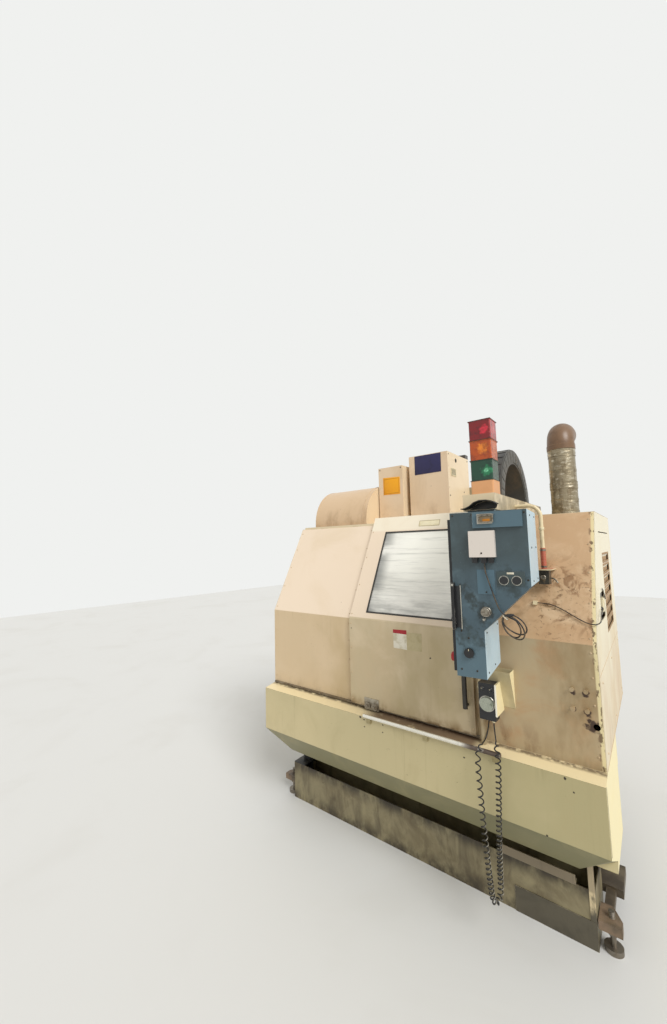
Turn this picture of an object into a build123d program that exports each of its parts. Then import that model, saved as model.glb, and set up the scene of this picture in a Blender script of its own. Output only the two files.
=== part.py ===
from build123d import *
from math import atan, cos, pi, radians, sin, sqrt, tan
import os

# A vertical machining centre, in millimetres. +Z is up, the operator stands on the
# -Y side, and the origin is on the floor under the middle of the machine.

# Overall sizes of the enclosure
WIDTH = 2100.0
DEPTH = 2440.0
WALL_LAP = 70.0
LEDGE_Z = 843.0
BEND_Z = 1385.0
ROOF_Z = 2015.0
SLOPE_DEPTH = 340.0
SHEET = 3.0

# Clearances
SEAT = 0.3
BEARING = 0.05
BOLT_GAP = 0.5

# Control pendant: its swivel axis, the turn it rests at, and its case
SWIVEL_IN = 77.0
SWIVEL_OUT = 215.0
REST_TURN = 5.8
CASE_LEFT = 113.0
CASE_RIGHT = 209.0
CASE_LEG = 14.0
CASE_SIDE = 174.5
CASE_REAR = 133.5
CASE_TOP = 1998.0
CASE_SLANT_TOP = 1674.0
CASE_SLANT_LOW = 1478.0
CASE_BOTTOM = 1272.0
CASE_WALL = 3.0
CABLE_HOLE = 12.0
PANEL_THICK = 15.0
PANEL_SIDE = 165.0
PANEL_REAR = 124.0
DISPLAY_TOP = 1970.0
DISPLAY_LOW = 1480.0
SCREEN_TOP = 1930.0
SCREEN_LOW = 1715.0
SCREEN_HALF = 125.0
SCREEN_DEEP = 4.0
KEY_ROWS = 5
KEY_COLUMNS = 10
KEY_SIZE = 15.0
KEY_PITCH = 22.0
KEY_PROUD = 2.0
KEYS_Z = 1595.0
OPERATOR_TOP = 1470.0
OPERATOR_LOW = 1290.0
SWIVEL_PLATE = 11.7
SWIVEL_WIDTH = 120.0
SWIVEL_DEEP = 100.0
SWIVEL_HUB = 32.0
PIN_RADIUS = 20.0
PIN_RISE = 62.0

# Fittings on the pendant's narrow side, measured from its swivel axis
BAR_LEFT = -10.0
BAR_RIGHT = 192.0
BAR_LOW = 1925.0
BAR_HIGH = 1995.0
BAR_PROUD = 14.0
LATCH_LEFT = 12.0
LATCH_RIGHT = 74.0
LATCH_LOW = 1942.0
LATCH_HIGH = 1986.0
LATCH_PROUD = 9.0
BOX_LEFT = -28.0
BOX_RIGHT = 80.0
BOX_LOW = 1797.0
BOX_HIGH = 1912.0
BOX_PROUD = 27.0
PLUG_WIDTH = 22.0
PLUG_DEEP = 18.0
PLUG_LONG = 25.0
PLUG_X = (-7.0, 31.0, 60.0)
COVER_LEFT = -5.0
COVER_RIGHT = 68.0
COVER_LOW = 1636.0
COVER_HIGH = 1742.0
COVER_PROUD = 2.0
KNOB_PLATE_LEFT = 77.0
KNOB_PLATE_RIGHT = 187.0
KNOB_PLATE_LOW = 1674.5
KNOB_PLATE_HIGH = 1735.0
KNOB_PLATE_PROUD = 3.0
POWER_ON_X = 106.0
POWER_OFF_X = 156.0
POWER_Z = 1698.0
POWER_RING = 20.0
POWER_CAP = 16.5
POWER_STEM = 7.0
POWER_TRAVEL = 3.5
POWER_RING_PROUD = 10.0
POWER_CAP_PROUD = 14.0
SOCKET_X = 25.0
SOCKET_Z = 1560.0
SOCKET_RADIUS = 18.0
SOCKET_PROUD = 22.0
DARK_KNOB_X = -55.0
DARK_KNOB_Z = 1378.0
DARK_KNOB_RADIUS = 20.0
DARK_KNOB_PROUD = 16.0
GRAB_LEFT = 115.0
GRAB_WIDTH = 12.0
GRAB_LOW = 1480.0
GRAB_HIGH = 1683.0
GRAB_PROUD = 30.0
GRAB_FOOT = 22.0

# Controls on the pendant's operator panel
STOP_Y = -120.0
STOP_Z = 1340.0
STOP_RADIUS = 21.0
STOP_HIGH = 17.0
START_Y = -58.0
START_Z = 1340.0
START_RADIUS = 13.0
START_HIGH = 9.0
OVERRIDE_Y = 10.0
OVERRIDE_Z = 1400.0
OVERRIDE_RADIUS = 18.0
OVERRIDE_HIGH = 20.0
STEM_RADIUS = 6.0
STEM_LONG = 10.0
PUSH_TRAVEL = 4.0

# Chip pan and the apron in front of it
APRON_OUT = 98.0
APRON_DROP = 16.5
APRON_HEIGHT = 285.5
PAN_Z = 374.5
PAN_FRONT_IN = 30.0
PAN_WIDE_DEPTH = 450.0
PAN_NARROWER = 60.0
CORNER_CUT = 140.0
CORNER_BACK_IN = 190.0
CORNER_TOOL = 500.0
LEDGE_TONGUE = 10.0

# Bed, feet and column
FLANGE_Z = 100.0
FLANGE_THICK = 40.0
BED_TOP = 650.0
PEDESTAL_WIDTH = 800.0
PEDESTAL_FRONT_IN = 360.0
PEDESTAL_BACK_IN = 70.0
CORE_CELL_X = 168.0
CORE_CELL_Y = 182.0
CORE_RIB = 24.0
CORE_COUNT_X = 4
CORE_COUNT_Y = 7
CORE_TOP = 555.0
BEAM_DEPTH = 190.0
BEAM_INSET = 10.0
BEAM_FRONT_IN = 350.0
ARM_WIDTH = 40.0
ARM_INSET = 40.0
ARM_STEP = 10.0
PAD_INSET = 3.0
PAD_WIDTH = 90.0
PAD_LENGTH = 119.0
PAD_FRONT_IN = 100.0
PAD_CUT_X = 40.0
PAD_CUT_Y = 75.0
REAR_FLANGE_WIDTH = 1120.0
REAR_FLANGE_FRONT = -250.0
FOOT_RADIUS = 38.0
FOOT_THICK = 22.0
FOOT_SCREW = 12.0
FOOT_NUT = 22.0
FOOT_NUT_HIGH = 30.0
FOOT_SCREW_TOP = 168.0
FOOT_FRONT_IN = 150.0
FOOT_SIDE_IN = 45.0
FOOT_REAR_X = 520.0
FOOT_FLANGE_IN = 550.0
FOOT_BACK_IN = 50.0
SPINDLE_X = -35.0
SPINDLE_Y = 20.0
THROAT = 310.0
COLUMN_WIDTH = 560.0
COLUMN_DEPTH = 520.0
COLUMN_TOP = 2330.0
COLUMN_WALL = 60.0
COLUMN_RIB = 30.0
BOSS_WIDTH = 120.0
BOSS_OUT = 85.0
TOP_BOSS_Z = 2180.0
TOP_BOSS_HIGH = 80.0
LOW_BOSS_Z = 960.0
LOW_BOSS_HIGH = 40.0

# Slides: rails, screws, saddle, table, head
RAIL_WIDTH = 34.0
RAIL_HIGH = 30.0
Y_RAIL_SPREAD = 440.0
Y_RAIL_BACK_GAP = 30.0
Y_RAIL_FRONT_IN = 30.0
SADDLE_GAP = 6.0
SADDLE_WIDTH = 720.0
SADDLE_DEPTH = 280.0
SADDLE_TOP = 790.0
CHANNEL_WIDTH = 120.0
CHANNEL_DEEP = 50.0
CHANNEL_FRONT_IN = 60.0
CHANNEL_BACK_GAP = 40.0
Y_SCREW_RADIUS = 16.0
Y_SCREW_DEEP = 20.0
NUT_WIDTH = 80.0
NUT_DEPTH = 80.0
NUT_DROP = 44.0
X_RAIL_WIDTH = 30.0
X_RAIL_SPREAD = 180.0
X_RAIL_END = 10.0
TROUGH_DEEP = 50.0
TROUGH_WIDTH = 90.0
TROUGH_END = 35.0
X_SCREW_RADIUS = 14.0
X_SCREW_DEEP = 22.0
X_NUT_WIDTH = 100.0
X_NUT_DEPTH = 60.0
X_NUT_DROP = 49.0
TABLE_GAP = 7.0
TABLE_TOP = 900.0
TABLE_WIDTH = 900.0
TABLE_DEPTH = 360.0
SLOT_PITCH = 100.0
SLOT_NECK = 14.0
SLOT_HEAD = 24.0
SLOT_NECK_DEEP = 15.0
SLOT_HEAD_DEEP = 26.0
SLOTS = 3
Z_RAIL_SPREAD = 260.0
Z_RAIL_LOW = 1020.0
Z_RAIL_LENGTH = 1160.0
Z_SCREW_RADIUS = 16.0
Z_SCREW_OUT = 60.0
HEAD_WIDTH = 300.0
HEAD_FRONT = 130.0
HEAD_LOW = 1420.0
HEAD_HIGH = 1780.0
HEAD_KEY_GAP = 2.0
NOSE_RADIUS = 75.0
NOSE_LENGTH = 70.0
SPINDLE_RADIUS = 50.0
SPINDLE_PROUD = 10.0
SPINDLE_LENGTH = 430.0
TAPER_MOUTH = 44.45
TAPER_DEPTH = 68.0
TAPER_RATIO = 7 / 24
MOTOR_SIZE = 200.0
MOTOR_HIGH = 310.0
Z_MOTOR_SIZE = 150.0
Z_MOTOR_HIGH = 190.0

# Tool magazine and change arm
MAG_INSET = 70.0
MAG_LENGTH = 525.0
MAG_RADIUS = 300.0
MAG_BACK = 80.0
MAG_RISE = 45.0
MAG_WALL = 2.0
MAG_LIP = 5.0
DRUM_LEFT_IN = 280.0
DRUM_THICK = 20.0
DRUM_RADIUS = 235.0
POT_CIRCLE = 200.0
POTS = 16
POT_RADIUS = 28.0
POT_BORE = 20.0
POT_LENGTH = 160.0
POT_DEEP = 110.0
HUB_RADIUS = 45.0
AXLE_RADIUS = 25.0
HUB_LEFT = 25.0
FRAME_GAP = 20.0
FRAME_THICK = 20.0
FRAME_HIGH = 165.0
FRAME_LOW = 165.0
FRAME_FRONT = 140.0
FRAME_BEAM_HIGH = 100.0
GEARBOX_DEPTH = 120.0
GEARBOX_LOW = 1500.0
GEARBOX_HIGH = 1700.0
ARM_PIVOT = 265.0
ARM_SHAFT = 30.0
ARM_SHAFT_TOP = 1640.0
ARM_HUB = 50.0
ARM_HUB_GAP = 8.0
ARM_LOW = 1290.0
ARM_THICK = 30.0
ARM_HALF = 300.0
ARM_BAR = 70.0
GRIP_RADIUS = 26.0

# Front door and what it runs on
DOOR_LEFT = -310.0
DOOR_WIDTH = 800.0
DOOR_LOW = 19.0
DOOR_ABOVE = 50.0
DOOR_OUT = 30.0
OPENING_LEFT = 70.0
OPENING_RIGHT = 70.0
WINDOW_LEFT = 128.0
WINDOW_WIDTH = 560.0
WINDOW_LOW = 55.0
WINDOW_HIGH = 510.0
GLASS_LAP = 15.0
GLASS_THICK = 6.0
RAIL_BACK = 20.0
TOP_RAIL_DEPTH = 30.0
TOP_RAIL_HIGH = 15.0
TOP_RAIL_LEFT = 1040.0
TOP_RAIL_OVER = 10.0
LOW_RAIL_Z = 4.0
LOW_RAIL_HIGH = 11.0
LOW_RAIL_OUT = 12.0
FLANGE_BACK = 5.0
SHOE_LENGTH = 60.0
SHOE_IN = 90.0
ROLLER_LEFT = 106.0
ROLLER_WIDTH = 104.0
ROLLER_LOW = 846.0
ROLLER_HIGH = 915.0
ROLLER_THICK = 4.0
ROLLER_RADIUS = 20.0
ROLLER_BOLT = 9.0
HANDLE_IN = 37.5
HANDLE_RADIUS = 12.5
HANDLE_LOW = 1000.0
HANDLE_HIGH = 1250.0
HANDLE_OUT = 32.0
HANDLE_POST = 9.0

# Ledge bar
BAR_RADIUS = 11.0
BAR_START = -160.0
BAR_LENGTH = 794.0
BAR_OUT = 15.0
BAR_Z_DROP = 5.0
BAR_CLIP = 30.0
BAR_CLIP_DROP = 42.0
BAR_CLIP_THICK = 9.0
BAR_SCREW = 4.0

# Covers on the roof
HOOD_WIDTH = 320.0
HOOD_FRONT = 130.0
HOOD_HIGH = 550.0
HOOD_WALL = 2.0
HOOD_LIP = 15.0
RELAY_GAP = 32.0
RELAY_WIDTH = 219.0
RELAY_DEPTH = 330.0
RELAY_FORWARD = 60.0
RELAY_HIGH = 483.0
BLACK_BOX_WIDTH = 90.0
BLACK_BOX_DEPTH = 60.0
BLACK_BOX_HIGH = 34.0

# Duct
DUCT_INSET = 182.0
DUCT_Y = -90.0
DUCT_RADIUS = 75.0
DUCT_WALL = 3.0
DUCT_HIGH = 455.0
DUCT_COLLAR = 95.0
DUCT_COLLAR_HIGH = 10.0
ELBOW_RADIUS = 77.0
ELBOW_BEND = 85.0
SLEEVE_RADIUS = 80.0
SLEEVE_LAP = 30.0
MOUTH_LENGTH = 30.0
MOUTH_BORE = 72.0

# Pendant arm, signal light and cable chain
PENDANT_ARM_IN = 477.0
ARM_WIDE = 148.0
ARM_HIGH = 78.0
ARM_FRONT_OVER = 55.0
ARM_BACK_Y = -50.0
ARM_WALL = 4.0
ARM_BLOCK = 110.0
LIGHT_SIZE = 106.0
LIGHT_BASE = 63.5
LENS_HIGH = 98.5
LENS_WALL = 3.0
LENS_ROUND = 8.0
LENS_LIP = 4.0
CHAIN_OVER = 38.0
CHAIN_WIDTH = 130.0
CHAIN_OUTER = 320.0
CHAIN_INNER = 235.0
CHAIN_Y = -430.0
CHAIN_WALL = 4.0

# Side walls, rear wall, roof
LOUVRE_COUNT = 7
LOUVRE_TOP = 1781.0
LOUVRE_PITCH = 64.0
LOUVRE_HIGH = 40.0
LOUVRE_FRONT = -220.0
LOUVRE_LENGTH = 390.0
CABLE_SLOT_FRONT = 290.0
CABLE_SLOT_LENGTH = 210.0
CABLE_SLOT_LOW = 1450.0
CABLE_SLOT_HIGH = 1590.0
SLIT_Z = 1905.0
SLIT_HIGH = 6.0
SLIT_FRONT = -340.0
SLIT_LENGTH = 580.0
REAR_GAP = 0.5

# Tank
TANK_INSET = 97.0
TANK_FRONT_IN = 100.0
TANK_DEPTH = 240.0
TANK_HIGH = 250.0
TANK_WALL = 4.0
SKIRT_LENGTH = 352.0
SKIRT_HIGH = 121.0
SKIRT_THICK = 4.0
ANGLE_IN = 76.0
ANGLE_LENGTH = 338.0
ANGLE_HIGH = 42.0
ANGLE_DEPTH = 34.0
ANGLE_THICK = 5.0
STRIP_WIDTH = 24.0
STRIP_THICK = 3.0
PUMP_IN = 56.0
PUMP_PLATE = 106.0
PUMP_PLATE_THICK = 6.0
PUMP_RADIUS = 50.0
PUMP_HIGH = 108.0
PUMP_TUBE = 22.0
PUMP_TUBE_LOW = 30.0

# Right front panel's hardware
HOOK_IN = (112.0, 56.0)
HOOK_Z = (1181.0, 1096.0)
HOOK_RADIUS = 6.0
HOOK_OUT = 26.0
RUST_HOLE_IN = 26.0
RUST_HOLE_Z = 1027.0
RUST_HOLE_RADIUS = 14.0
CONDUIT_X = 531.0
CONDUIT_OUT = 35.0
CONDUIT_RADIUS = 13.0
CONDUIT_LOW = 840.0
CONDUIT_TOP = 1142.0
OUTLET_X = 560.0
OUTLET_WIDTH = 24.0
OUTLET_OUT = 22.0
OUTLET_LOW = 1100.0
OUTLET_HIGH = 1140.0
GLAND_RADIUS = 8.0
GLAND_LONG = 12.0
PIPE_FROM_ARM = 117.0
PIPE_OUT = 100.0
PIPE_RADIUS = 10.0
PIPE_Z = 2050.0
PIPE_BEND = 60.0
SLEEVE_TOP = 1828.0
HOSE_RADIUS = 13.0
SHELF_Z = 1716.0
SHELF_THICK = 6.0
SHELF_WIDTH = 80.0
SHELF_OUT = 40.0
VALVE_WIDTH = 50.0
VALVE_LOW = 1646.0
CLIP_FROM_ARM = 59.0
CLIP_LONG = 20.0
CLIP_OUT = 14.0
CLIP_LOW = 1542.0
CLIP_HIGH = 1560.0
POCKET_LEFT = 575.0
POCKET_WIDTH = 110.0
POCKET_LOW = 1030.0
POCKET_HIGH = 1220.0
POCKET_OUT = 70.0
POCKET_WALL = 2.0
WHEEL_LEFT = 542.0
WHEEL_WIDTH = 80.0
WHEEL_OUT = 52.0
WHEEL_DEEP = 60.0
WHEEL_LOW = 990.0
WHEEL_HIGH = 1165.0
WHEEL_WALL = 3.0
DIAL_Z = 1068.0
DIAL_RADIUS = 32.0
DIAL_HIGH = 12.0
DIAL_STEM = 8.0
DIAL_STEM_LONG = 14.0
CHEEK_THICK = 8.0
CHEEK_OUT = 115.0
CHEEK_LOW = 1015.0

# Electrical cabinet
CABINET_WIDTH = 1100.0
CABINET_TOP = 1950.0
CABINET_FRONT_GAP = 5.0
CABINET_DOOR = 25.0
CABINET_HANDLE_OUT = 20.0
CABINET_HANDLE_WIDTH = 30.0
CABINET_HANDLE_HIGH = 150.0
CABINET_HANDLE_Z = 1300.0
CABINET_HANDLE_IN = 50.0
HINGE_OUT = 8.0
HINGE_BACK = 13.0
HINGE_RADIUS = 7.0
HINGE_PIN = 4.0
HINGE_HALF = 30.0
HINGE_LEAF = 5.0
HINGE_REACH = 36.0
HINGE_Z = (800.0, 1800.0)
PLATE_IN = 70.0
PLATE_THICK = 5.0

# Cords: their sizes and the points of their routes
CURLY_WIRE = 7.0
CURLY_OUTER = 29.0
SIDE_WIRE = 5.0
PENDANT_WIRE = 6.0
TIE_LOOP_THICK = 26.0
TIE_LOOP_OUT = 4.0
CORD_CORNER = 0.45

# Derived places
TURN = radians(REST_TURN)
REACH = SWIVEL_OUT + GRAB_LEFT * sin(TURN) + (CASE_SIDE + GRAB_PROUD) * cos(TURN)
HALF = WIDTH / 2
BACK = DEPTH / 2
FRONT = REACH - DEPTH / 2
ROOF_FRONT = FRONT + SLOPE_DEPTH
SLOPE = atan(SLOPE_DEPTH / (ROOF_Z - BEND_Z))
SKIN_TOP = ROOF_Z - SHEET
APRON_Y = FRONT - APRON_OUT
APRON_TOP = LEDGE_Z - APRON_DROP
APRON_LOW = APRON_TOP - APRON_HEIGHT
PAN_SPLIT = FRONT + PAN_WIDE_DEPTH
PAN_HALF = HALF - PAN_NARROWER
CORNER_BACK = FRONT + CORNER_BACK_IN
PEDESTAL_FRONT = FRONT + PEDESTAL_FRONT_IN
PEDESTAL_BACK = BACK - PEDESTAL_BACK_IN
FLANGE_TOP = FLANGE_Z + FLANGE_THICK
COLUMN_Y = SPINDLE_Y + THROAT
SIDE_BACK = COLUMN_Y + WALL_LAP
COLUMN_BACK = COLUMN_Y + COLUMN_DEPTH
Y_SCREW_Z = BED_TOP - Y_SCREW_DEEP
X_SCREW_Z = SADDLE_TOP - X_SCREW_DEEP
Z_SCREW_Y = COLUMN_Y - Z_SCREW_OUT
RAIL_TOP = BED_TOP + RAIL_HIGH
SADDLE_LOW = BED_TOP + SADDLE_GAP
TABLE_LOW = SADDLE_TOP + TABLE_GAP
HEAD_BACK = COLUMN_Y - RAIL_HIGH - SEAT
NOSE_LOW = HEAD_LOW - NOSE_LENGTH
DOOR_RIGHT = DOOR_LEFT + DOOR_WIDTH
DOOR_Z = LEDGE_Z + DOOR_LOW
DOOR_TOP = ROOF_Z + DOOR_ABOVE
WINDOW_Z = BEND_Z + WINDOW_LOW
WINDOW_TOP = WINDOW_Z + WINDOW_HIGH
WINDOW_X = DOOR_LEFT + WINDOW_LEFT
HOOD_LEFT = SPINDLE_X - HOOD_WIDTH / 2
HOOD_Y = SPINDLE_Y - HOOD_FRONT
HOOD_TOP = ROOF_Z + HOOD_HIGH
RELAY_RIGHT = HOOD_LEFT - RELAY_GAP
RELAY_Y = HOOD_Y - RELAY_FORWARD
MAG_LEFT = MAG_INSET - HALF
MAG_RIGHT = MAG_LEFT + MAG_LENGTH
MAG_Y = SPINDLE_Y - MAG_BACK
MAG_Z = ROOF_Z + MAG_RISE
DRUM_X = MAG_LEFT + DRUM_LEFT_IN
FRAME_X = DRUM_X + DRUM_THICK + FRAME_GAP
PIVOT_X = SPINDLE_X - ARM_PIVOT
DUCT_X = HALF - DUCT_INSET
DUCT_TOP = ROOF_Z + DUCT_HIGH
SWIVEL_Y = FRONT - SWIVEL_OUT
ARM_LEFT = HALF - PENDANT_ARM_IN
ARM_RIGHT = ARM_LEFT + ARM_WIDE
SWIVEL_X = ARM_LEFT + SWIVEL_IN
PIPE_X = ARM_RIGHT + PIPE_FROM_ARM
CLIP_X = ARM_RIGHT + CLIP_FROM_ARM
ARM_TOP = ROOF_Z + ARM_HIGH
ARM_FRONT = SWIVEL_Y - ARM_FRONT_OVER
LIGHT_TOP = ARM_TOP + LIGHT_BASE
TANK_X = HALF - TANK_INSET
TANK_FRONT = FRONT + TANK_FRONT_IN
TANK_BACK = TANK_FRONT + TANK_DEPTH
CABINET_HALF = CABINET_WIDTH / 2
CABINET_FRONT = COLUMN_BACK + CABINET_FRONT_GAP
CABINET_BACK = BACK - CABINET_HANDLE_OUT - CABINET_DOOR
WHEEL_BACK = FRONT - WHEEL_OUT
WHEEL_FRONT = WHEEL_BACK - WHEEL_DEEP
WHEEL_RIGHT = WHEEL_LEFT + WHEEL_WIDTH

os.makedirs("parts", exist_ok=True)


def fold_y(out, z):
    """Y of a surface that lies this far outside the folded front, at height z."""
    if z <= BEND_Z + out * tan(SLOPE / 2):
        return FRONT - out
    return FRONT - out * cos(SLOPE) + (z - BEND_Z - out * sin(SLOPE)) * tan(SLOPE)


def fold_band(outer, inner, low, high):
    """(y, z) corners of a sheet that follows the folded front between two offsets."""
    outer_knee = BEND_Z + outer * tan(SLOPE / 2)
    inner_knee = BEND_Z + inner * tan(SLOPE / 2)
    if low >= outer_knee:
        return [(fold_y(outer, low), low), (fold_y(outer, high), high),
                (fold_y(inner, high), high), (fold_y(inner, low), low)]
    return [(FRONT - outer, low), (FRONT - outer, outer_knee), (fold_y(outer, high), high),
            (fold_y(inner, high), high), (FRONT - inner, inner_knee), (FRONT - inner, low)]


def prism(plane, points, length, mode=Mode.ADD):
    with BuildSketch(plane) as profile:
        with BuildLine():
            Polyline(*points, close=True)
        make_face()
    extrude(profile.sketch, amount=length, mode=mode)


def prism_x(points, x0, x1, mode=Mode.ADD):
    prism(Plane.YZ.offset(x0), points, x1 - x0, mode)


def prism_y(points, y0, y1, mode=Mode.ADD):
    prism(Plane.XZ.offset(-y1), points, y1 - y0, mode)


def prism_z(points, z0, z1, mode=Mode.ADD):
    prism(Plane.XY.offset(z0), points, z1 - z0, mode)


def block(x, y, z, mode=Mode.ADD):
    """A box between two values along each axis."""
    with Locations(((x[0] + x[1]) / 2, (y[0] + y[1]) / 2, (z[0] + z[1]) / 2)):
        Box(x[1] - x[0], y[1] - y[0], z[1] - z[0], mode=mode)


def rod(axis, u, v, span, radius, mode=Mode.ADD):
    """A cylinder along one axis, between two values on it."""
    middle = (span[0] + span[1]) / 2
    centre = {"X": (middle, u, v), "Y": (u, middle, v), "Z": (u, v, middle)}[axis]
    turn = {"X": (0, 90, 0), "Y": (90, 0, 0), "Z": (0, 0, 0)}[axis]
    with Locations(centre):
        Cylinder(radius, span[1] - span[0], rotation=turn, mode=mode)


def arch_x(y, z, base, radius, x0, x1, mode=Mode.ADD):
    """A half-round body along X that stands on straight sides."""
    with BuildSketch(Plane.YZ.offset(x0)) as profile:
        with BuildLine():
            Polyline((y - radius, z), (y - radius, base), (y + radius, base), (y + radius, z))
            CenterArc((y, z), radius, 0, 180)
        make_face()
    extrude(profile.sketch, amount=x1 - x0, mode=mode)


def half_ring_x(y, z, outer, inner, x0, x1, mode=Mode.ADD):
    with BuildSketch(Plane.YZ.offset(x0)) as profile:
        with BuildLine():
            CenterArc((y, z), outer, 0, 180)
            Line((y - outer, z), (y - inner, z))
            CenterArc((y, z), inner, 0, 180)
            Line((y + inner, z), (y + outer, z))
        make_face()
    extrude(profile.sketch, amount=x1 - x0, mode=mode)


def cord_path(points):
    """Straight runs joined by arcs, each as large as its two runs allow."""
    runs = [Vector(*b) - Vector(*a) for a, b in zip(points, points[1:])]
    radii = []
    for before, after in zip(runs, runs[1:]):
        half_turn = radians(before.get_angle(after)) / 2
        radii.append(CORD_CORNER * min(before.length, after.length) / tan(half_turn))
    return FilletPolyline(*points, radius=radii)


def finish(piece, name):
    piece.part.label = name
    export_step(piece.part, "parts/" + name + ".step")


# Bed: a ribbed box casting on a flange, with two arms that reach to the front feet
with BuildPart() as machine_bed:
    pedestal_half = PEDESTAL_WIDTH / 2
    block((-pedestal_half, pedestal_half), (PEDESTAL_FRONT, PEDESTAL_BACK), (FLANGE_Z, BED_TOP))
    beam_front = FRONT + BEAM_FRONT_IN
    beam_half = HALF - BEAM_INSET
    block((-beam_half, beam_half), (beam_front, beam_front + BEAM_DEPTH), (FLANGE_Z, FLANGE_TOP))
    pad_right = HALF - PAD_INSET
    pad_front = FRONT + PAD_FRONT_IN
    pad_back = pad_front + PAD_LENGTH
    arm_right = HALF - ARM_INSET
    for side in (-1, 1):
        block(sorted((side * arm_right, side * (arm_right - ARM_WIDTH))), (pad_back, beam_front),
              (FLANGE_Z, FLANGE_TOP - ARM_STEP))
        prism_z([(side * (pad_right - PAD_WIDTH), pad_front), (side * pad_right, pad_front),
                 (side * pad_right, pad_back - PAD_CUT_Y),
                 (side * (pad_right - PAD_CUT_X), pad_back),
                 (side * (pad_right - PAD_WIDTH), pad_back)], FLANGE_Z, FLANGE_TOP)
    flange_half = REAR_FLANGE_WIDTH / 2
    block((-flange_half, flange_half), (REAR_FLANGE_FRONT, PEDESTAL_BACK), (FLANGE_Z, FLANGE_TOP))
    with Locations((0, (PEDESTAL_FRONT + PEDESTAL_BACK) / 2, (FLANGE_Z + CORE_TOP) / 2)):
        with GridLocations(CORE_CELL_X + CORE_RIB, CORE_CELL_Y + CORE_RIB,
                           CORE_COUNT_X, CORE_COUNT_Y):
            Box(CORE_CELL_X, CORE_CELL_Y, CORE_TOP - FLANGE_Z, mode=Mode.SUBTRACT)
    channel_y = PEDESTAL_FRONT + CHANNEL_FRONT_IN
    channel_end = COLUMN_Y - CHANNEL_BACK_GAP
    channel_half = CHANNEL_WIDTH / 2
    block((SPINDLE_X - channel_half, SPINDLE_X + channel_half),
          (channel_y, channel_end),
          (BED_TOP - CHANNEL_DEEP, BED_TOP), Mode.SUBTRACT)
    rod("Y", SPINDLE_X, Y_SCREW_Z, (PEDESTAL_FRONT, channel_end + NUT_DEPTH / 2),
        Y_SCREW_RADIUS + BEARING, Mode.SUBTRACT)
    foot_x = HALF - FOOT_SIDE_IN
    foot_y = FRONT + FOOT_FRONT_IN
    foot_places = [(-foot_x, foot_y), (foot_x, foot_y)]
    rear_y = (REAR_FLANGE_FRONT + FOOT_FLANGE_IN, PEDESTAL_BACK - FOOT_BACK_IN)
    foot_places += [(side * FOOT_REAR_X, y) for side in (-1, 1) for y in rear_y]
    with Locations(*[(x, y, (FLANGE_Z + FLANGE_TOP) / 2) for x, y in foot_places]):
        Cylinder(FOOT_SCREW + BOLT_GAP, FLANGE_THICK, mode=Mode.SUBTRACT)
finish(machine_bed, "machine_bed")

# Levelling feet: a round pad, a screw and the nut that carries the flange
with BuildPart() as levelling_feet:
    with Locations(*[(x, y, 0) for x, y in foot_places]):
        Cylinder(FOOT_RADIUS, FOOT_THICK, align=(Align.CENTER, Align.CENTER, Align.MIN))
        Cylinder(FOOT_SCREW, FOOT_SCREW_TOP, align=(Align.CENTER, Align.CENTER, Align.MIN))
    for x, y in foot_places:
        with BuildSketch(Plane.XY.offset(FLANGE_Z - FOOT_NUT_HIGH)) as nut:
            with Locations((x, y)):
                RegularPolygon(FOOT_NUT, 6)
        extrude(nut.sketch, amount=FOOT_NUT_HIGH)
finish(levelling_feet, "levelling_feet")

# Column: a cored casting with the bearing blocks of the vertical screw and its motor
with BuildPart() as column:
    column_half = COLUMN_WIDTH / 2
    block((-column_half, column_half), (COLUMN_Y, COLUMN_BACK), (BED_TOP, COLUMN_TOP))
    cell_x = (COLUMN_WIDTH - 2 * COLUMN_WALL - COLUMN_RIB) / 2
    cell_y = (COLUMN_DEPTH - 2 * COLUMN_WALL - COLUMN_RIB) / 2
    cell_z = COLUMN_TOP - COLUMN_WALL - BED_TOP
    with Locations((0, (COLUMN_Y + COLUMN_BACK) / 2, BED_TOP + cell_z / 2)):
        with GridLocations(cell_x + COLUMN_RIB, cell_y + COLUMN_RIB, 2, 2):
            Box(cell_x, cell_y, cell_z, mode=Mode.SUBTRACT)
    boss_x = (SPINDLE_X - BOSS_WIDTH / 2, SPINDLE_X + BOSS_WIDTH / 2)
    boss_y = (COLUMN_Y - BOSS_OUT, COLUMN_Y)
    boss_top = TOP_BOSS_Z + TOP_BOSS_HIGH
    block(boss_x, boss_y, (TOP_BOSS_Z, boss_top))
    block(boss_x, boss_y, (LOW_BOSS_Z, LOW_BOSS_Z + LOW_BOSS_HIGH))
    motor_half = Z_MOTOR_SIZE / 2
    block((SPINDLE_X - motor_half, SPINDLE_X + motor_half),
          (Z_SCREW_Y - motor_half, COLUMN_Y - HOOD_WALL), (boss_top, boss_top + Z_MOTOR_HIGH))
    rod("Z", SPINDLE_X, Z_SCREW_Y, (LOW_BOSS_Z, boss_top), Z_SCREW_RADIUS + BEARING,
        Mode.SUBTRACT)
finish(column, "column")

# Guide rails: two along Y on the bed, two upright on the column
with BuildPart() as guide_rails:
    rail_y = PEDESTAL_FRONT + Y_RAIL_FRONT_IN
    z_rail_half = X_RAIL_WIDTH / 2
    for side in (-1, 1):
        x = SPINDLE_X + side * Y_RAIL_SPREAD / 2
        block((x - RAIL_WIDTH / 2, x + RAIL_WIDTH / 2), (rail_y, COLUMN_Y - Y_RAIL_BACK_GAP),
              (BED_TOP, RAIL_TOP))
        x = SPINDLE_X + side * Z_RAIL_SPREAD / 2
        block((x - z_rail_half, x + z_rail_half), (COLUMN_Y - RAIL_HIGH, COLUMN_Y),
              (Z_RAIL_LOW, Z_RAIL_LOW + Z_RAIL_LENGTH))
finish(guide_rails, "guide_rails")

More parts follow.
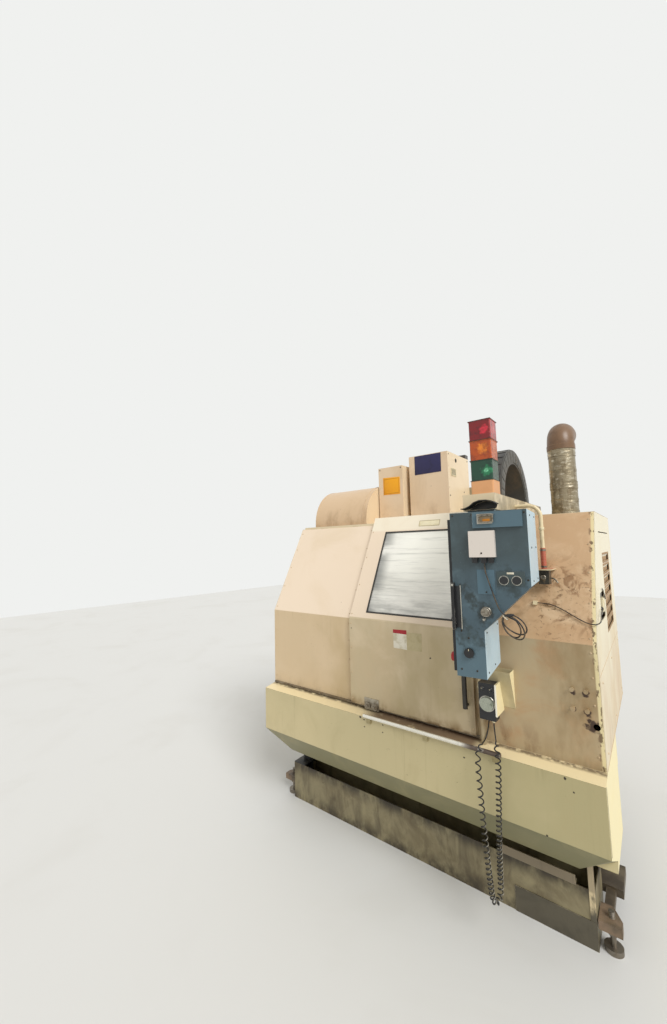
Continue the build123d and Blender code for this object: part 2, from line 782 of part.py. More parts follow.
# Screws of the three slides
with BuildPart() as y_screw:
    rod("Y", SPINDLE_X, Y_SCREW_Z, (PEDESTAL_FRONT, channel_end + NUT_DEPTH / 2),
        Y_SCREW_RADIUS)
finish(y_screw, "y_screw")

with BuildPart() as z_screw:
    rod("Z", SPINDLE_X, Z_SCREW_Y, (LOW_BOSS_Z, boss_top - SEAT), Z_SCREW_RADIUS)
finish(z_screw, "z_screw")

with BuildPart() as x_screw:
    rod("X", SPINDLE_Y, X_SCREW_Z, (SPINDLE_X - SADDLE_WIDTH / 2, SPINDLE_X + SADDLE_WIDTH / 2),
        X_SCREW_RADIUS)
finish(x_screw, "x_screw")

# Saddle: runs on the bed's rails and carries the table's rails
with BuildPart() as saddle:
    saddle_x = (SPINDLE_X - SADDLE_WIDTH / 2, SPINDLE_X + SADDLE_WIDTH / 2)
    saddle_y = (SPINDLE_Y - SADDLE_DEPTH / 2, SPINDLE_Y + SADDLE_DEPTH / 2)
    block(saddle_x, saddle_y, (SADDLE_LOW, SADDLE_TOP))
    for side in (-1, 1):
        x = SPINDLE_X + side * Y_RAIL_SPREAD / 2
        groove = RAIL_WIDTH / 2 + SEAT
        block((x - groove, x + groove), saddle_y, (SADDLE_LOW, RAIL_TOP + SEAT), Mode.SUBTRACT)
        y = SPINDLE_Y + side * X_RAIL_SPREAD / 2
        block((saddle_x[0] + X_RAIL_END, saddle_x[1] - X_RAIL_END),
              (y - X_RAIL_WIDTH / 2, y + X_RAIL_WIDTH / 2), (SADDLE_TOP, SADDLE_TOP + RAIL_HIGH))
    block((saddle_x[0] + TROUGH_END, saddle_x[1] - TROUGH_END),
          (SPINDLE_Y - TROUGH_WIDTH / 2, SPINDLE_Y + TROUGH_WIDTH / 2),
          (SADDLE_TOP - TROUGH_DEEP, SADDLE_TOP), Mode.SUBTRACT)
    rod("X", SPINDLE_Y, X_SCREW_Z, saddle_x, X_SCREW_RADIUS + BEARING, Mode.SUBTRACT)
    block((SPINDLE_X - NUT_WIDTH / 2, SPINDLE_X + NUT_WIDTH / 2),
          (SPINDLE_Y - NUT_DEPTH / 2, SPINDLE_Y + NUT_DEPTH / 2),
          (BED_TOP - NUT_DROP, SADDLE_LOW))
    rod("Y", SPINDLE_X, Y_SCREW_Z, saddle_y, Y_SCREW_RADIUS + BEARING, Mode.SUBTRACT)
finish(saddle, "saddle")

# Work table with its T-slots
with BuildPart() as work_table:
    table_x = (SPINDLE_X - TABLE_WIDTH / 2, SPINDLE_X + TABLE_WIDTH / 2)
    table_y = (SPINDLE_Y - TABLE_DEPTH / 2, SPINDLE_Y + TABLE_DEPTH / 2)
    block(table_x, table_y, (TABLE_LOW, TABLE_TOP))
    block((SPINDLE_X - X_NUT_WIDTH / 2, SPINDLE_X + X_NUT_WIDTH / 2),
          (SPINDLE_Y - X_NUT_DEPTH / 2, SPINDLE_Y + X_NUT_DEPTH / 2),
          (TABLE_LOW - X_NUT_DROP, TABLE_LOW))
    rod("X", SPINDLE_Y, X_SCREW_Z, (SPINDLE_X - X_NUT_WIDTH / 2, SPINDLE_X + X_NUT_WIDTH / 2),
        X_SCREW_RADIUS + BEARING, Mode.SUBTRACT)
    for side in (-1, 1):
        y = SPINDLE_Y + side * X_RAIL_SPREAD / 2
        groove = X_RAIL_WIDTH / 2 + SEAT
        block(table_x, (y - groove, y + groove), (TABLE_LOW, SADDLE_TOP + RAIL_HIGH + SEAT),
              Mode.SUBTRACT)
    for slot in range(SLOTS):
        y = SPINDLE_Y + (slot - (SLOTS - 1) / 2) * SLOT_PITCH
        block(table_x, (y - SLOT_NECK / 2, y + SLOT_NECK / 2),
              (TABLE_TOP - SLOT_NECK_DEEP, TABLE_TOP), Mode.SUBTRACT)
        block(table_x, (y - SLOT_HEAD / 2, y + SLOT_HEAD / 2),
              (TABLE_TOP - SLOT_HEAD_DEEP, TABLE_TOP - SLOT_NECK_DEEP), Mode.SUBTRACT)
finish(work_table, "work_table")

# Spindle head with its motor; a key between the column rails carries the nut
with BuildPart() as spindle_head:
    block((SPINDLE_X - HEAD_WIDTH / 2, SPINDLE_X + HEAD_WIDTH / 2),
          (SPINDLE_Y - HEAD_FRONT, HEAD_BACK), (HEAD_LOW, HEAD_HIGH))
    fillet(spindle_head.edges().filter_by(Axis.Z).group_by(Axis.Y)[0], radius=30)
    key_half = (Z_RAIL_SPREAD - X_RAIL_WIDTH) / 2 - SEAT
    block((SPINDLE_X - key_half, SPINDLE_X + key_half), (HEAD_BACK, COLUMN_Y - HEAD_KEY_GAP),
          (HEAD_LOW, HEAD_HIGH))
    rod("Z", SPINDLE_X, SPINDLE_Y, (NOSE_LOW, HEAD_LOW), NOSE_RADIUS)
    motor_half = MOTOR_SIZE / 2
    block((SPINDLE_X - motor_half, SPINDLE_X + motor_half),
          (SPINDLE_Y - motor_half, SPINDLE_Y + motor_half), (HEAD_HIGH, HEAD_HIGH + MOTOR_HIGH))
    spindle_low = NOSE_LOW - SPINDLE_PROUD
    rod("Z", SPINDLE_X, SPINDLE_Y, (NOSE_LOW, spindle_low + SPINDLE_LENGTH + SEAT),
        SPINDLE_RADIUS, Mode.SUBTRACT)
    rod("Z", SPINDLE_X, Z_SCREW_Y, (HEAD_LOW, HEAD_HIGH), Z_SCREW_RADIUS + BEARING,
        Mode.SUBTRACT)
finish(spindle_head, "spindle_head")

# Spindle with a 7/24 taper bore
with BuildPart() as spindle:
    rod("Z", SPINDLE_X, SPINDLE_Y, (spindle_low, spindle_low + SPINDLE_LENGTH),
        SPINDLE_RADIUS - BEARING)
    taper_end = TAPER_MOUTH / 2 - TAPER_DEPTH * TAPER_RATIO / 2
    with Locations((SPINDLE_X, SPINDLE_Y, spindle_low + TAPER_DEPTH / 2)):
        Cone(TAPER_MOUTH / 2, taper_end, TAPER_DEPTH, mode=Mode.SUBTRACT)
finish(spindle, "spindle")

# Chip pan: a folded tray with the sloping ledge, the upright apron and its undercut
with BuildPart() as chip_pan:
    prism_x([(APRON_Y, APRON_TOP), (APRON_Y, APRON_LOW), (FRONT + PAN_FRONT_IN, PAN_Z),
             (PAN_SPLIT, PAN_Z), (PAN_SPLIT, LEDGE_Z), (FRONT, LEDGE_Z)], -HALF, HALF)
    block((-PAN_HALF, PAN_HALF), (PAN_SPLIT, SIDE_BACK), (PAN_Z, LEDGE_Z))
    for side in (-1, 1):
        knee = Vector(side * HALF, APRON_Y, APRON_LOW)
        along = Vector(0, CORNER_BACK - APRON_Y, PAN_Z - APRON_LOW)
        across = Vector(-side * CORNER_CUT, FRONT + PAN_FRONT_IN - APRON_Y, PAN_Z - APRON_LOW)
        with BuildSketch(Plane(origin=knee, x_dir=along, z_dir=side * across.cross(along))):
            Rectangle(CORNER_TOOL, CORNER_TOOL)
        extrude(amount=CORNER_TOOL, mode=Mode.SUBTRACT)
    offset(amount=-SHEET, openings=chip_pan.faces().sort_by(Axis.Z)[-1])
    block((-HALF, HALF), (FRONT, FRONT + LEDGE_TONGUE), (LEDGE_Z - SHEET, LEDGE_Z))
    for side in (-1, 1):
        block(sorted((side * (PAN_HALF - SHEET), side * HALF)), (PAN_SPLIT - SHEET, SIDE_BACK),
              (LEDGE_Z - SHEET, LEDGE_Z))
    block((-pedestal_half, pedestal_half), (PEDESTAL_FRONT, SIDE_BACK), (PAN_Z, LEDGE_Z),
          Mode.SUBTRACT)
finish(chip_pan, "chip_pan")

# Front panels on both sides of the door opening
opening_x = (DOOR_LEFT + OPENING_LEFT, DOOR_RIGHT - OPENING_RIGHT)
with BuildPart() as front_panel_left:
    prism_x(fold_band(0, -SHEET, LEDGE_Z, SKIN_TOP), SHEET - HALF, opening_x[0])
finish(front_panel_left, "front_panel_left")

with BuildPart() as front_panel_right:
    prism_x(fold_band(0, -SHEET, LEDGE_Z, SKIN_TOP), opening_x[1], HALF - SHEET)
    for z in HOOK_Z:
        for inset in HOOK_IN:
            rod("Y", HALF - inset, z, (FRONT - HOOK_OUT, FRONT), HOOK_RADIUS)
            rod("Y", HALF - inset, z, (FRONT - HOOK_OUT, FRONT - HOOK_OUT + HOOK_RADIUS),
                HOOK_RADIUS * 1.7)
    rod("Y", HALF - RUST_HOLE_IN, RUST_HOLE_Z, (FRONT, FRONT + SHEET), RUST_HOLE_RADIUS,
        Mode.SUBTRACT)
finish(front_panel_right, "front_panel_right")

# Side walls
side_profile = [(FRONT, LEDGE_Z), (FRONT, BEND_Z), (fold_y(0, SKIN_TOP), SKIN_TOP),
                (SIDE_BACK, SKIN_TOP), (SIDE_BACK, LEDGE_Z)]
with BuildPart() as side_wall_left:
    prism_x(side_profile, -HALF, SHEET - HALF)
finish(side_wall_left, "side_wall_left")

with BuildPart() as side_wall_right:
    prism_x(side_profile, HALF - SHEET, HALF)
    wall = (HALF - SHEET, HALF)
    for row in range(LOUVRE_COUNT):
        top = LOUVRE_TOP - row * LOUVRE_PITCH
        block(wall, (LOUVRE_FRONT, LOUVRE_FRONT + LOUVRE_LENGTH), (top - LOUVRE_HIGH, top),
              Mode.SUBTRACT)
    slot_y = FRONT + CABLE_SLOT_FRONT
    block(wall, (slot_y, slot_y + CABLE_SLOT_LENGTH), (CABLE_SLOT_LOW, CABLE_SLOT_HIGH),
          Mode.SUBTRACT)
    block(wall, (SLIT_FRONT, SLIT_FRONT + SLIT_LENGTH), (SLIT_Z, SLIT_Z + SLIT_HIGH),
          Mode.SUBTRACT)
finish(side_wall_right, "side_wall_right")

# Rear wall, cut out around the column and the bed
with BuildPart() as rear_wall:
    block((SHEET - HALF, HALF - SHEET), (SIDE_BACK - SHEET, SIDE_BACK), (LEDGE_Z, SKIN_TOP))
    notch = column_half + REAR_GAP
    block((-notch, notch), (SIDE_BACK - SHEET, SIDE_BACK), (LEDGE_Z, SKIN_TOP), Mode.SUBTRACT)
finish(rear_wall, "rear_wall")

# Roof with holes for the head's motor, the magazine and the duct
with BuildPart() as roof_panel:
    block((-HALF, HALF), (ROOF_FRONT, SIDE_BACK), (SKIN_TOP, ROOF_Z))
    block((-notch, notch), (COLUMN_Y, SIDE_BACK), (SKIN_TOP, ROOF_Z), Mode.SUBTRACT)
    block((HOOD_LEFT + HOOD_LIP, HOOD_LEFT + HOOD_WIDTH - HOOD_LIP),
          (HOOD_Y + HOOD_LIP, COLUMN_Y), (SKIN_TOP, ROOF_Z), Mode.SUBTRACT)
    block((MAG_LEFT + MAG_LIP, MAG_RIGHT - MAG_LIP),
          (MAG_Y - MAG_RADIUS + MAG_LIP, MAG_Y + MAG_RADIUS - MAG_LIP),
          (SKIN_TOP, ROOF_Z), Mode.SUBTRACT)
    rod("Z", DUCT_X, DUCT_Y, (SKIN_TOP, ROOF_Z), DUCT_RADIUS - DUCT_WALL, Mode.SUBTRACT)
finish(roof_panel, "roof_panel")

# Rails of the sliding door: one on the roof, one along the opening's foot
with BuildPart() as door_rails:
    rail_front = ROOF_FRONT + RAIL_BACK
    block((-TOP_RAIL_LEFT, DOOR_RIGHT + TOP_RAIL_OVER), (rail_front, rail_front + TOP_RAIL_DEPTH),
          (ROOF_Z, ROOF_Z + TOP_RAIL_HIGH))
    block((-TOP_RAIL_LEFT, DOOR_RIGHT + TOP_RAIL_OVER), (FRONT - LOW_RAIL_OUT, FRONT),
          (LEDGE_Z + LOW_RAIL_Z, LEDGE_Z + LOW_RAIL_Z + LOW_RAIL_HIGH))
finish(door_rails, "door_rails")

# Front door: a folded tray with a window cut out and a flange over the top rail
with BuildPart() as front_door:
    prism_x(fold_band(DOOR_OUT, SHEET, DOOR_Z, DOOR_TOP), DOOR_LEFT, DOOR_RIGHT)
    prism_x(fold_band(DOOR_OUT - SHEET, SHEET, DOOR_Z + SHEET, DOOR_TOP),
            DOOR_LEFT + SHEET, DOOR_RIGHT - SHEET, Mode.SUBTRACT)
    flange_y = rail_front + TOP_RAIL_DEPTH + FLANGE_BACK
    block((DOOR_LEFT, DOOR_RIGHT), (fold_y(DOOR_OUT, DOOR_TOP), flange_y),
          (DOOR_TOP - SHEET, DOOR_TOP))
    prism_x(fold_band(DOOR_OUT + SHEET, DOOR_OUT - SHEET - SEAT, WINDOW_Z, WINDOW_TOP),
            WINDOW_X, WINDOW_X + WINDOW_WIDTH, Mode.SUBTRACT)
finish(front_door, "front_door")

with BuildPart() as door_window:
    glass_out = DOOR_OUT - SHEET
    prism_x(fold_band(glass_out, glass_out - GLASS_THICK, WINDOW_Z - GLASS_LAP,
                      WINDOW_TOP + GLASS_LAP),
            WINDOW_X - GLASS_LAP, WINDOW_X + WINDOW_WIDTH + GLASS_LAP)
finish(door_window, "door_window")

# Door fittings: roller bracket, grip, and two shoes that run on the top rail
with BuildPart() as door_fittings:
    roller_x = DOOR_LEFT + ROLLER_LEFT
    door_face = FRONT - DOOR_OUT
    block((roller_x, roller_x + ROLLER_WIDTH), (door_face - ROLLER_THICK, door_face),
          (ROLLER_LOW, ROLLER_HIGH))
    for part_way in (0.25, 0.75):
        x = roller_x + ROLLER_WIDTH * part_way
        rod("Y", x, ROLLER_LOW + ROLLER_RADIUS * 1.2,
            (door_face - ROLLER_THICK * 4, door_face - ROLLER_THICK), ROLLER_RADIUS)
        rod("Y", x, ROLLER_LOW + ROLLER_RADIUS * 1.2,
            (door_face - ROLLER_THICK * 6, door_face - ROLLER_THICK), ROLLER_BOLT)
    handle_x = DOOR_RIGHT - HANDLE_IN
    grip_y = door_face - HANDLE_OUT
    rod("Z", handle_x, grip_y, (HANDLE_LOW, HANDLE_HIGH), HANDLE_RADIUS)
    for z in (HANDLE_LOW + HANDLE_RADIUS, HANDLE_HIGH - HANDLE_RADIUS):
        rod("Y", handle_x, z, (grip_y, door_face), HANDLE_POST)
    for x in (DOOR_LEFT + SHOE_IN, DOOR_RIGHT - SHOE_IN):
        block((x - SHOE_LENGTH / 2, x + SHOE_LENGTH / 2),
              (rail_front, rail_front + TOP_RAIL_DEPTH),
              (ROOF_Z + TOP_RAIL_HIGH + SEAT, DOOR_TOP - SHEET))
finish(door_fittings, "door_fittings")

# Bar along the ledge on three clips
with BuildPart() as ledge_bar:
    bar_y = APRON_Y - BAR_OUT
    bar_z = LEDGE_Z - BAR_Z_DROP
    rod("X", bar_y, bar_z, (BAR_START, BAR_START + BAR_LENGTH), BAR_RADIUS)
    clip_span = BAR_LENGTH - 2 * BAR_CLIP
    for share in (0, 0.5, 1):
        x = BAR_START + BAR_CLIP + clip_span * share
        block((x - BAR_CLIP / 2, x + BAR_CLIP / 2), (APRON_Y - BAR_CLIP_THICK, APRON_Y),
              (bar_z - BAR_CLIP_DROP, bar_z))
        for side in (-1, 1):
            rod("Y", x + side * BAR_CLIP / 4, bar_z - BAR_CLIP_DROP + 2 * BAR_SCREW,
                (APRON_Y - BAR_CLIP_THICK - BAR_SCREW / 2, APRON_Y), BAR_SCREW)
finish(ledge_bar, "ledge_bar")

# Hood over the vertical motor and the head
with BuildPart() as motor_cover:
    hood_x = (HOOD_LEFT, HOOD_LEFT + HOOD_WIDTH)
    block(hood_x, (HOOD_Y, COLUMN_Y), (ROOF_Z, HOOD_TOP))
    block((hood_x[0] + HOOD_WALL, hood_x[1] - HOOD_WALL), (HOOD_Y + HOOD_WALL, COLUMN_Y - HOOD_WALL),
          (ROOF_Z, HOOD_TOP - HOOD_WALL), Mode.SUBTRACT)
    block((hood_x[0] + HOOD_WALL, hood_x[1] - HOOD_WALL), (COLUMN_Y - HOOD_WALL, COLUMN_Y),
          (ROOF_Z, COLUMN_TOP), Mode.SUBTRACT)
    box_x = hood_x[1] - BLACK_BOX_WIDTH
    block((box_x, hood_x[1]), (COLUMN_Y - BLACK_BOX_DEPTH, COLUMN_Y),
          (HOOD_TOP, HOOD_TOP + BLACK_BOX_HIGH))
    for z in (ROOF_Z + HOOD_HIGH * 0.2, ROOF_Z + HOOD_HIGH * 0.5, ROOF_Z + HOOD_HIGH * 0.8):
        for y in (HOOD_Y + HOOD_LIP, COLUMN_Y - HOOD_LIP):
            rod("X", y, z, (hood_x[1], hood_x[1] + HOOD_WALL), 2.5 * HOOD_WALL)
finish(motor_cover, "motor_cover")

# Relay box beside it
with BuildPart() as relay_box:
    relay_x = (RELAY_RIGHT - RELAY_WIDTH, RELAY_RIGHT)
    relay_y = (RELAY_Y, RELAY_Y + RELAY_DEPTH)
    relay_top = ROOF_Z + RELAY_HIGH
    block(relay_x, relay_y, (ROOF_Z, relay_top))
    block((relay_x[0] + HOOD_WALL, relay_x[1] - HOOD_WALL),
          (relay_y[0] + HOOD_WALL, relay_y[1] - HOOD_WALL), (ROOF_Z, relay_top - HOOD_WALL),
          Mode.SUBTRACT)
finish(relay_box, "relay_box")

# Half-round cover of the tool magazine
with BuildPart() as magazine_cover:
    arch_x(MAG_Y, MAG_Z, ROOF_Z, MAG_RADIUS, MAG_LEFT, MAG_RIGHT)
    arch_x(MAG_Y, MAG_Z, ROOF_Z, MAG_RADIUS - MAG_WALL, MAG_LEFT + MAG_WALL,
           MAG_RIGHT - MAG_WALL, Mode.SUBTRACT)
finish(magazine_cover, "magazine_cover")

# Frame that carries the magazine's drum and the change arm, bolted to the column's side
with BuildPart() as magazine_frame:
    frame_x = (FRAME_X, FRAME_X + FRAME_THICK)
    beam_back = SIDE_BACK - 2 * SHEET
    gear_y = (SPINDLE_Y - GEARBOX_DEPTH / 2, SPINDLE_Y + GEARBOX_DEPTH / 2)
    beam_z = SKIN_TOP - SHEET - FRAME_BEAM_HIGH
    frame_low = MAG_Z - FRAME_LOW - FRAME_THICK
    prism_x([(MAG_Y - FRAME_FRONT, frame_low), (gear_y[0], frame_low), (gear_y[0], GEARBOX_LOW),
             (gear_y[1], GEARBOX_LOW), (gear_y[1], frame_low), (beam_back, frame_low),
             (beam_back, beam_z + FRAME_BEAM_HIGH), (MAG_Y + FRAME_FRONT, beam_z + FRAME_BEAM_HIGH),
             (MAG_Y + FRAME_FRONT, MAG_Z + FRAME_HIGH), (MAG_Y - FRAME_FRONT, MAG_Z + FRAME_HIGH)],
            frame_x[0], frame_x[1])
    block((frame_x[1], -column_half), (COLUMN_Y + 2 * SHEET, beam_back),
          (beam_z, beam_z + FRAME_BEAM_HIGH))
    block((frame_x[1], PIVOT_X + ARM_HUB + ARM_HUB_GAP), gear_y, (GEARBOX_LOW, GEARBOX_HIGH))
    rod("X", MAG_Y, MAG_Z, (DRUM_X - HUB_LEFT, frame_x[0]), AXLE_RADIUS)
    rod("Z", PIVOT_X, SPINDLE_Y, (GEARBOX_LOW, ARM_SHAFT_TOP + SEAT), ARM_SHAFT + BEARING,
        Mode.SUBTRACT)
finish(magazine_frame, "magazine_frame")

# Drum of the magazine: a disc with its hub and sixteen tool pots
with BuildPart() as tool_magazine:
    rod("X", MAG_Y, MAG_Z, (DRUM_X, DRUM_X + DRUM_THICK), DRUM_RADIUS)
    rod("X", MAG_Y, MAG_Z, (DRUM_X - HUB_LEFT, FRAME_X - HOOD_WALL), HUB_RADIUS)
    for number in range(POTS):
        angle = 2 * pi * (number + 0.5) / POTS
        y = MAG_Y + POT_CIRCLE * cos(angle)
        z = MAG_Z + POT_CIRCLE * sin(angle)
        rod("X", y, z, (DRUM_X - POT_LENGTH, DRUM_X), POT_RADIUS)
        rod("X", y, z, (DRUM_X - POT_LENGTH, DRUM_X - POT_LENGTH + POT_DEEP), POT_BORE,
            Mode.SUBTRACT)
    rod("X", MAG_Y, MAG_Z, (DRUM_X - HUB_LEFT, FRAME_X), AXLE_RADIUS + BEARING, Mode.SUBTRACT)
finish(tool_magazine, "tool_magazine")

# Change arm: shaft, hub and a bar with a grip at each end
with BuildPart() as change_arm:
    rod("Z", PIVOT_X, SPINDLE_Y, (ARM_LOW, ARM_SHAFT_TOP), ARM_SHAFT)
    rod("Z", PIVOT_X, SPINDLE_Y, (ARM_LOW, ARM_LOW + ARM_THICK + ARM_HUB_GAP), ARM_HUB)
    block((PIVOT_X - ARM_BAR / 2, PIVOT_X + ARM_BAR / 2),
          (SPINDLE_Y - ARM_HALF, SPINDLE_Y + ARM_HALF), (ARM_LOW, ARM_LOW + ARM_THICK))
    for side in (-1, 1):
        grip_y = SPINDLE_Y + side * ARM_PIVOT
        rod("Z", PIVOT_X, grip_y, (ARM_LOW, ARM_LOW + ARM_THICK), GRIP_RADIUS, Mode.SUBTRACT)
        block(sorted((PIVOT_X, PIVOT_X - side * ARM_BAR / 2)),
              (grip_y - GRIP_RADIUS, grip_y + GRIP_RADIUS), (ARM_LOW, ARM_LOW + ARM_THICK),
              Mode.SUBTRACT)
finish(change_arm, "change_arm")

# Extraction duct with its collar on the roof, and the elbow on top
with BuildPart() as exhaust_duct:
    rod("Z", DUCT_X, DUCT_Y, (ROOF_Z, DUCT_TOP), DUCT_RADIUS)
    rod("Z", DUCT_X, DUCT_Y, (ROOF_Z, ROOF_Z + DUCT_COLLAR_HIGH), DUCT_COLLAR)
    rod("Z", DUCT_X, DUCT_Y, (ROOF_Z, DUCT_TOP), DUCT_RADIUS - DUCT_WALL, Mode.SUBTRACT)
finish(exhaust_duct, "exhaust_duct")

with BuildPart() as duct_elbow:
    bend_y = DUCT_Y + ELBOW_BEND
    turn_axis = Axis((DUCT_X, bend_y, DUCT_TOP), (-1, 0, 0))
    with BuildSketch(Plane.XY.offset(DUCT_TOP)) as ring:
        with Locations((DUCT_X, DUCT_Y)):
            Circle(ELBOW_RADIUS)
            Circle(ELBOW_RADIUS - DUCT_WALL, mode=Mode.SUBTRACT)
    revolve(ring.sketch, axis=turn_axis, revolution_arc=90)
    rod("Z", DUCT_X, DUCT_Y, (DUCT_TOP - SLEEVE_LAP, DUCT_TOP), SLEEVE_RADIUS)
    rod("Z", DUCT_X, DUCT_Y, (DUCT_TOP - SLEEVE_LAP, DUCT_TOP), DUCT_RADIUS + SEAT,
        Mode.SUBTRACT)
    mouth_z = DUCT_TOP + ELBOW_BEND
    rod("Y", DUCT_X, mouth_z, (bend_y, bend_y + MOUTH_LENGTH), ELBOW_RADIUS)
    rod("Y", DUCT_X, mouth_z, (bend_y, bend_y + MOUTH_LENGTH), MOUTH_BORE, Mode.SUBTRACT)
finish(duct_elbow, "duct_elbow")

# Arm over the roof that carries the pendant; its front end is a block for the swivel pin
with BuildPart() as pendant_arm:
    block((ARM_LEFT, ARM_RIGHT), (ARM_FRONT, ARM_BACK_Y), (ROOF_Z, ARM_TOP))
    block((ARM_LEFT + ARM_WALL, ARM_RIGHT - ARM_WALL),
          (ARM_FRONT + ARM_BLOCK, ARM_BACK_Y - ARM_WALL),
          (ROOF_Z + ARM_WALL, ARM_TOP - ARM_WALL), Mode.SUBTRACT)
    rod("Z", SWIVEL_X, SWIVEL_Y, (ROOF_Z, CASE_TOP + PIN_RISE + SEAT), PIN_RADIUS + BEARING,
        Mode.SUBTRACT)
finish(pendant_arm, "pendant_arm")

# Half loop of the cable chain on the arm
with BuildPart() as cable_chain:
    chain_x = (ARM_LEFT - CHAIN_OVER, ARM_LEFT - CHAIN_OVER + CHAIN_WIDTH)
    half_ring_x(CHAIN_Y, ARM_TOP, CHAIN_OUTER, CHAIN_INNER, chain_x[0], chain_x[1])
    half_ring_x(CHAIN_Y, ARM_TOP, CHAIN_OUTER - CHAIN_WALL, CHAIN_INNER + CHAIN_WALL,
                chain_x[0] + CHAIN_WALL, chain_x[1] - CHAIN_WALL, Mode.SUBTRACT)
finish(cable_chain, "cable_chain")

# Signal light: base and three hollow lenses
light_x = (ARM_RIGHT - LIGHT_SIZE, ARM_RIGHT)
light_y = (ARM_FRONT + LENS_LIP, ARM_FRONT + LENS_LIP + LIGHT_SIZE)
with BuildPart() as stack_light_base:
    block(light_x, light_y, (ARM_TOP, LIGHT_TOP))
    fillet(stack_light_base.edges().filter_by(Axis.Z), radius=LENS_ROUND)
finish(stack_light_base, "stack_light_base")


def lens(level):
    """One coloured section of the signal light, open below, with a lip round its top."""
    low = LIGHT_TOP + level * LENS_HIGH
    with BuildPart() as section:
        block((light_x[0] + LENS_LIP / 2, light_x[1] - LENS_LIP / 2),
              (light_y[0] + LENS_LIP / 2, light_y[1] - LENS_LIP / 2), (low, low + LENS_HIGH))
        fillet(section.edges().filter_by(Axis.Z), radius=LENS_ROUND)
        offset(amount=-LENS_WALL, openings=section.faces().sort_by(Axis.Z)[0])
        with BuildSketch(Plane.XY.offset(low + LENS_HIGH - LENS_LIP)) as lip:
            with Locations(((light_x[0] + light_x[1]) / 2, (light_y[0] + light_y[1]) / 2)):
                RectangleRounded(LIGHT_SIZE, LIGHT_SIZE, LENS_ROUND)
                RectangleRounded(LIGHT_SIZE - 2 * LENS_LIP, LIGHT_SIZE - 2 * LENS_LIP,
                                 LENS_ROUND / 2, mode=Mode.SUBTRACT)
        extrude(lip.sketch, amount=LENS_LIP)
    return section


for level, name in enumerate(("stack_lens_green", "stack_lens_amber", "stack_lens_red")):
    finish(lens(level), name)

# Coolant tank on the floor, with its front plates and the pump
with BuildPart() as coolant_tank:
    block((-TANK_X, TANK_X), (TANK_FRONT, TANK_BACK), (0, TANK_HIGH))
    block((TANK_WALL - TANK_X, TANK_X - TANK_WALL), (TANK_FRONT + TANK_WALL, TANK_BACK - TANK_WALL),
          (TANK_WALL, TANK_HIGH), Mode.SUBTRACT)
finish(coolant_tank, "coolant_tank")

with BuildPart() as tank_covers:
    block((TANK_X - SKIRT_LENGTH, TANK_X), (TANK_FRONT - SKIRT_THICK, TANK_FRONT),
          (0, SKIRT_HIGH))
    angle_x = (TANK_X - ANGLE_IN - ANGLE_LENGTH, TANK_X - ANGLE_IN)
    block(angle_x, (TANK_FRONT - ANGLE_THICK, TANK_FRONT), (TANK_HIGH, TANK_HIGH + ANGLE_HIGH))
    block(angle_x, (TANK_FRONT - ANGLE_THICK, TANK_FRONT + ANGLE_DEPTH),
          (TANK_HIGH, TANK_HIGH + ANGLE_THICK))
    block((TANK_X - STRIP_WIDTH, TANK_X), (TANK_FRONT - STRIP_THICK, TANK_FRONT),
          (SKIRT_HIGH, PAN_Z - SEAT))
finish(tank_covers, "tank_covers")

with BuildPart() as coolant_pump:
    pump_x = PUMP_IN - TANK_X
    pump_y = (TANK_FRONT + TANK_BACK) / 2
    block((pump_x - PUMP_PLATE / 2, pump_x + PUMP_PLATE / 2), (TANK_FRONT, TANK_BACK),
          (TANK_HIGH, TANK_HIGH + PUMP_PLATE_THICK))
    rod("Z", pump_x, pump_y, (TANK_HIGH, TANK_HIGH + PUMP_PLATE_THICK + PUMP_HIGH), PUMP_RADIUS)
    rod("Z", pump_x, pump_y, (PUMP_TUBE_LOW, TANK_HIGH), PUMP_TUBE)
finish(coolant_pump, "coolant_pump")

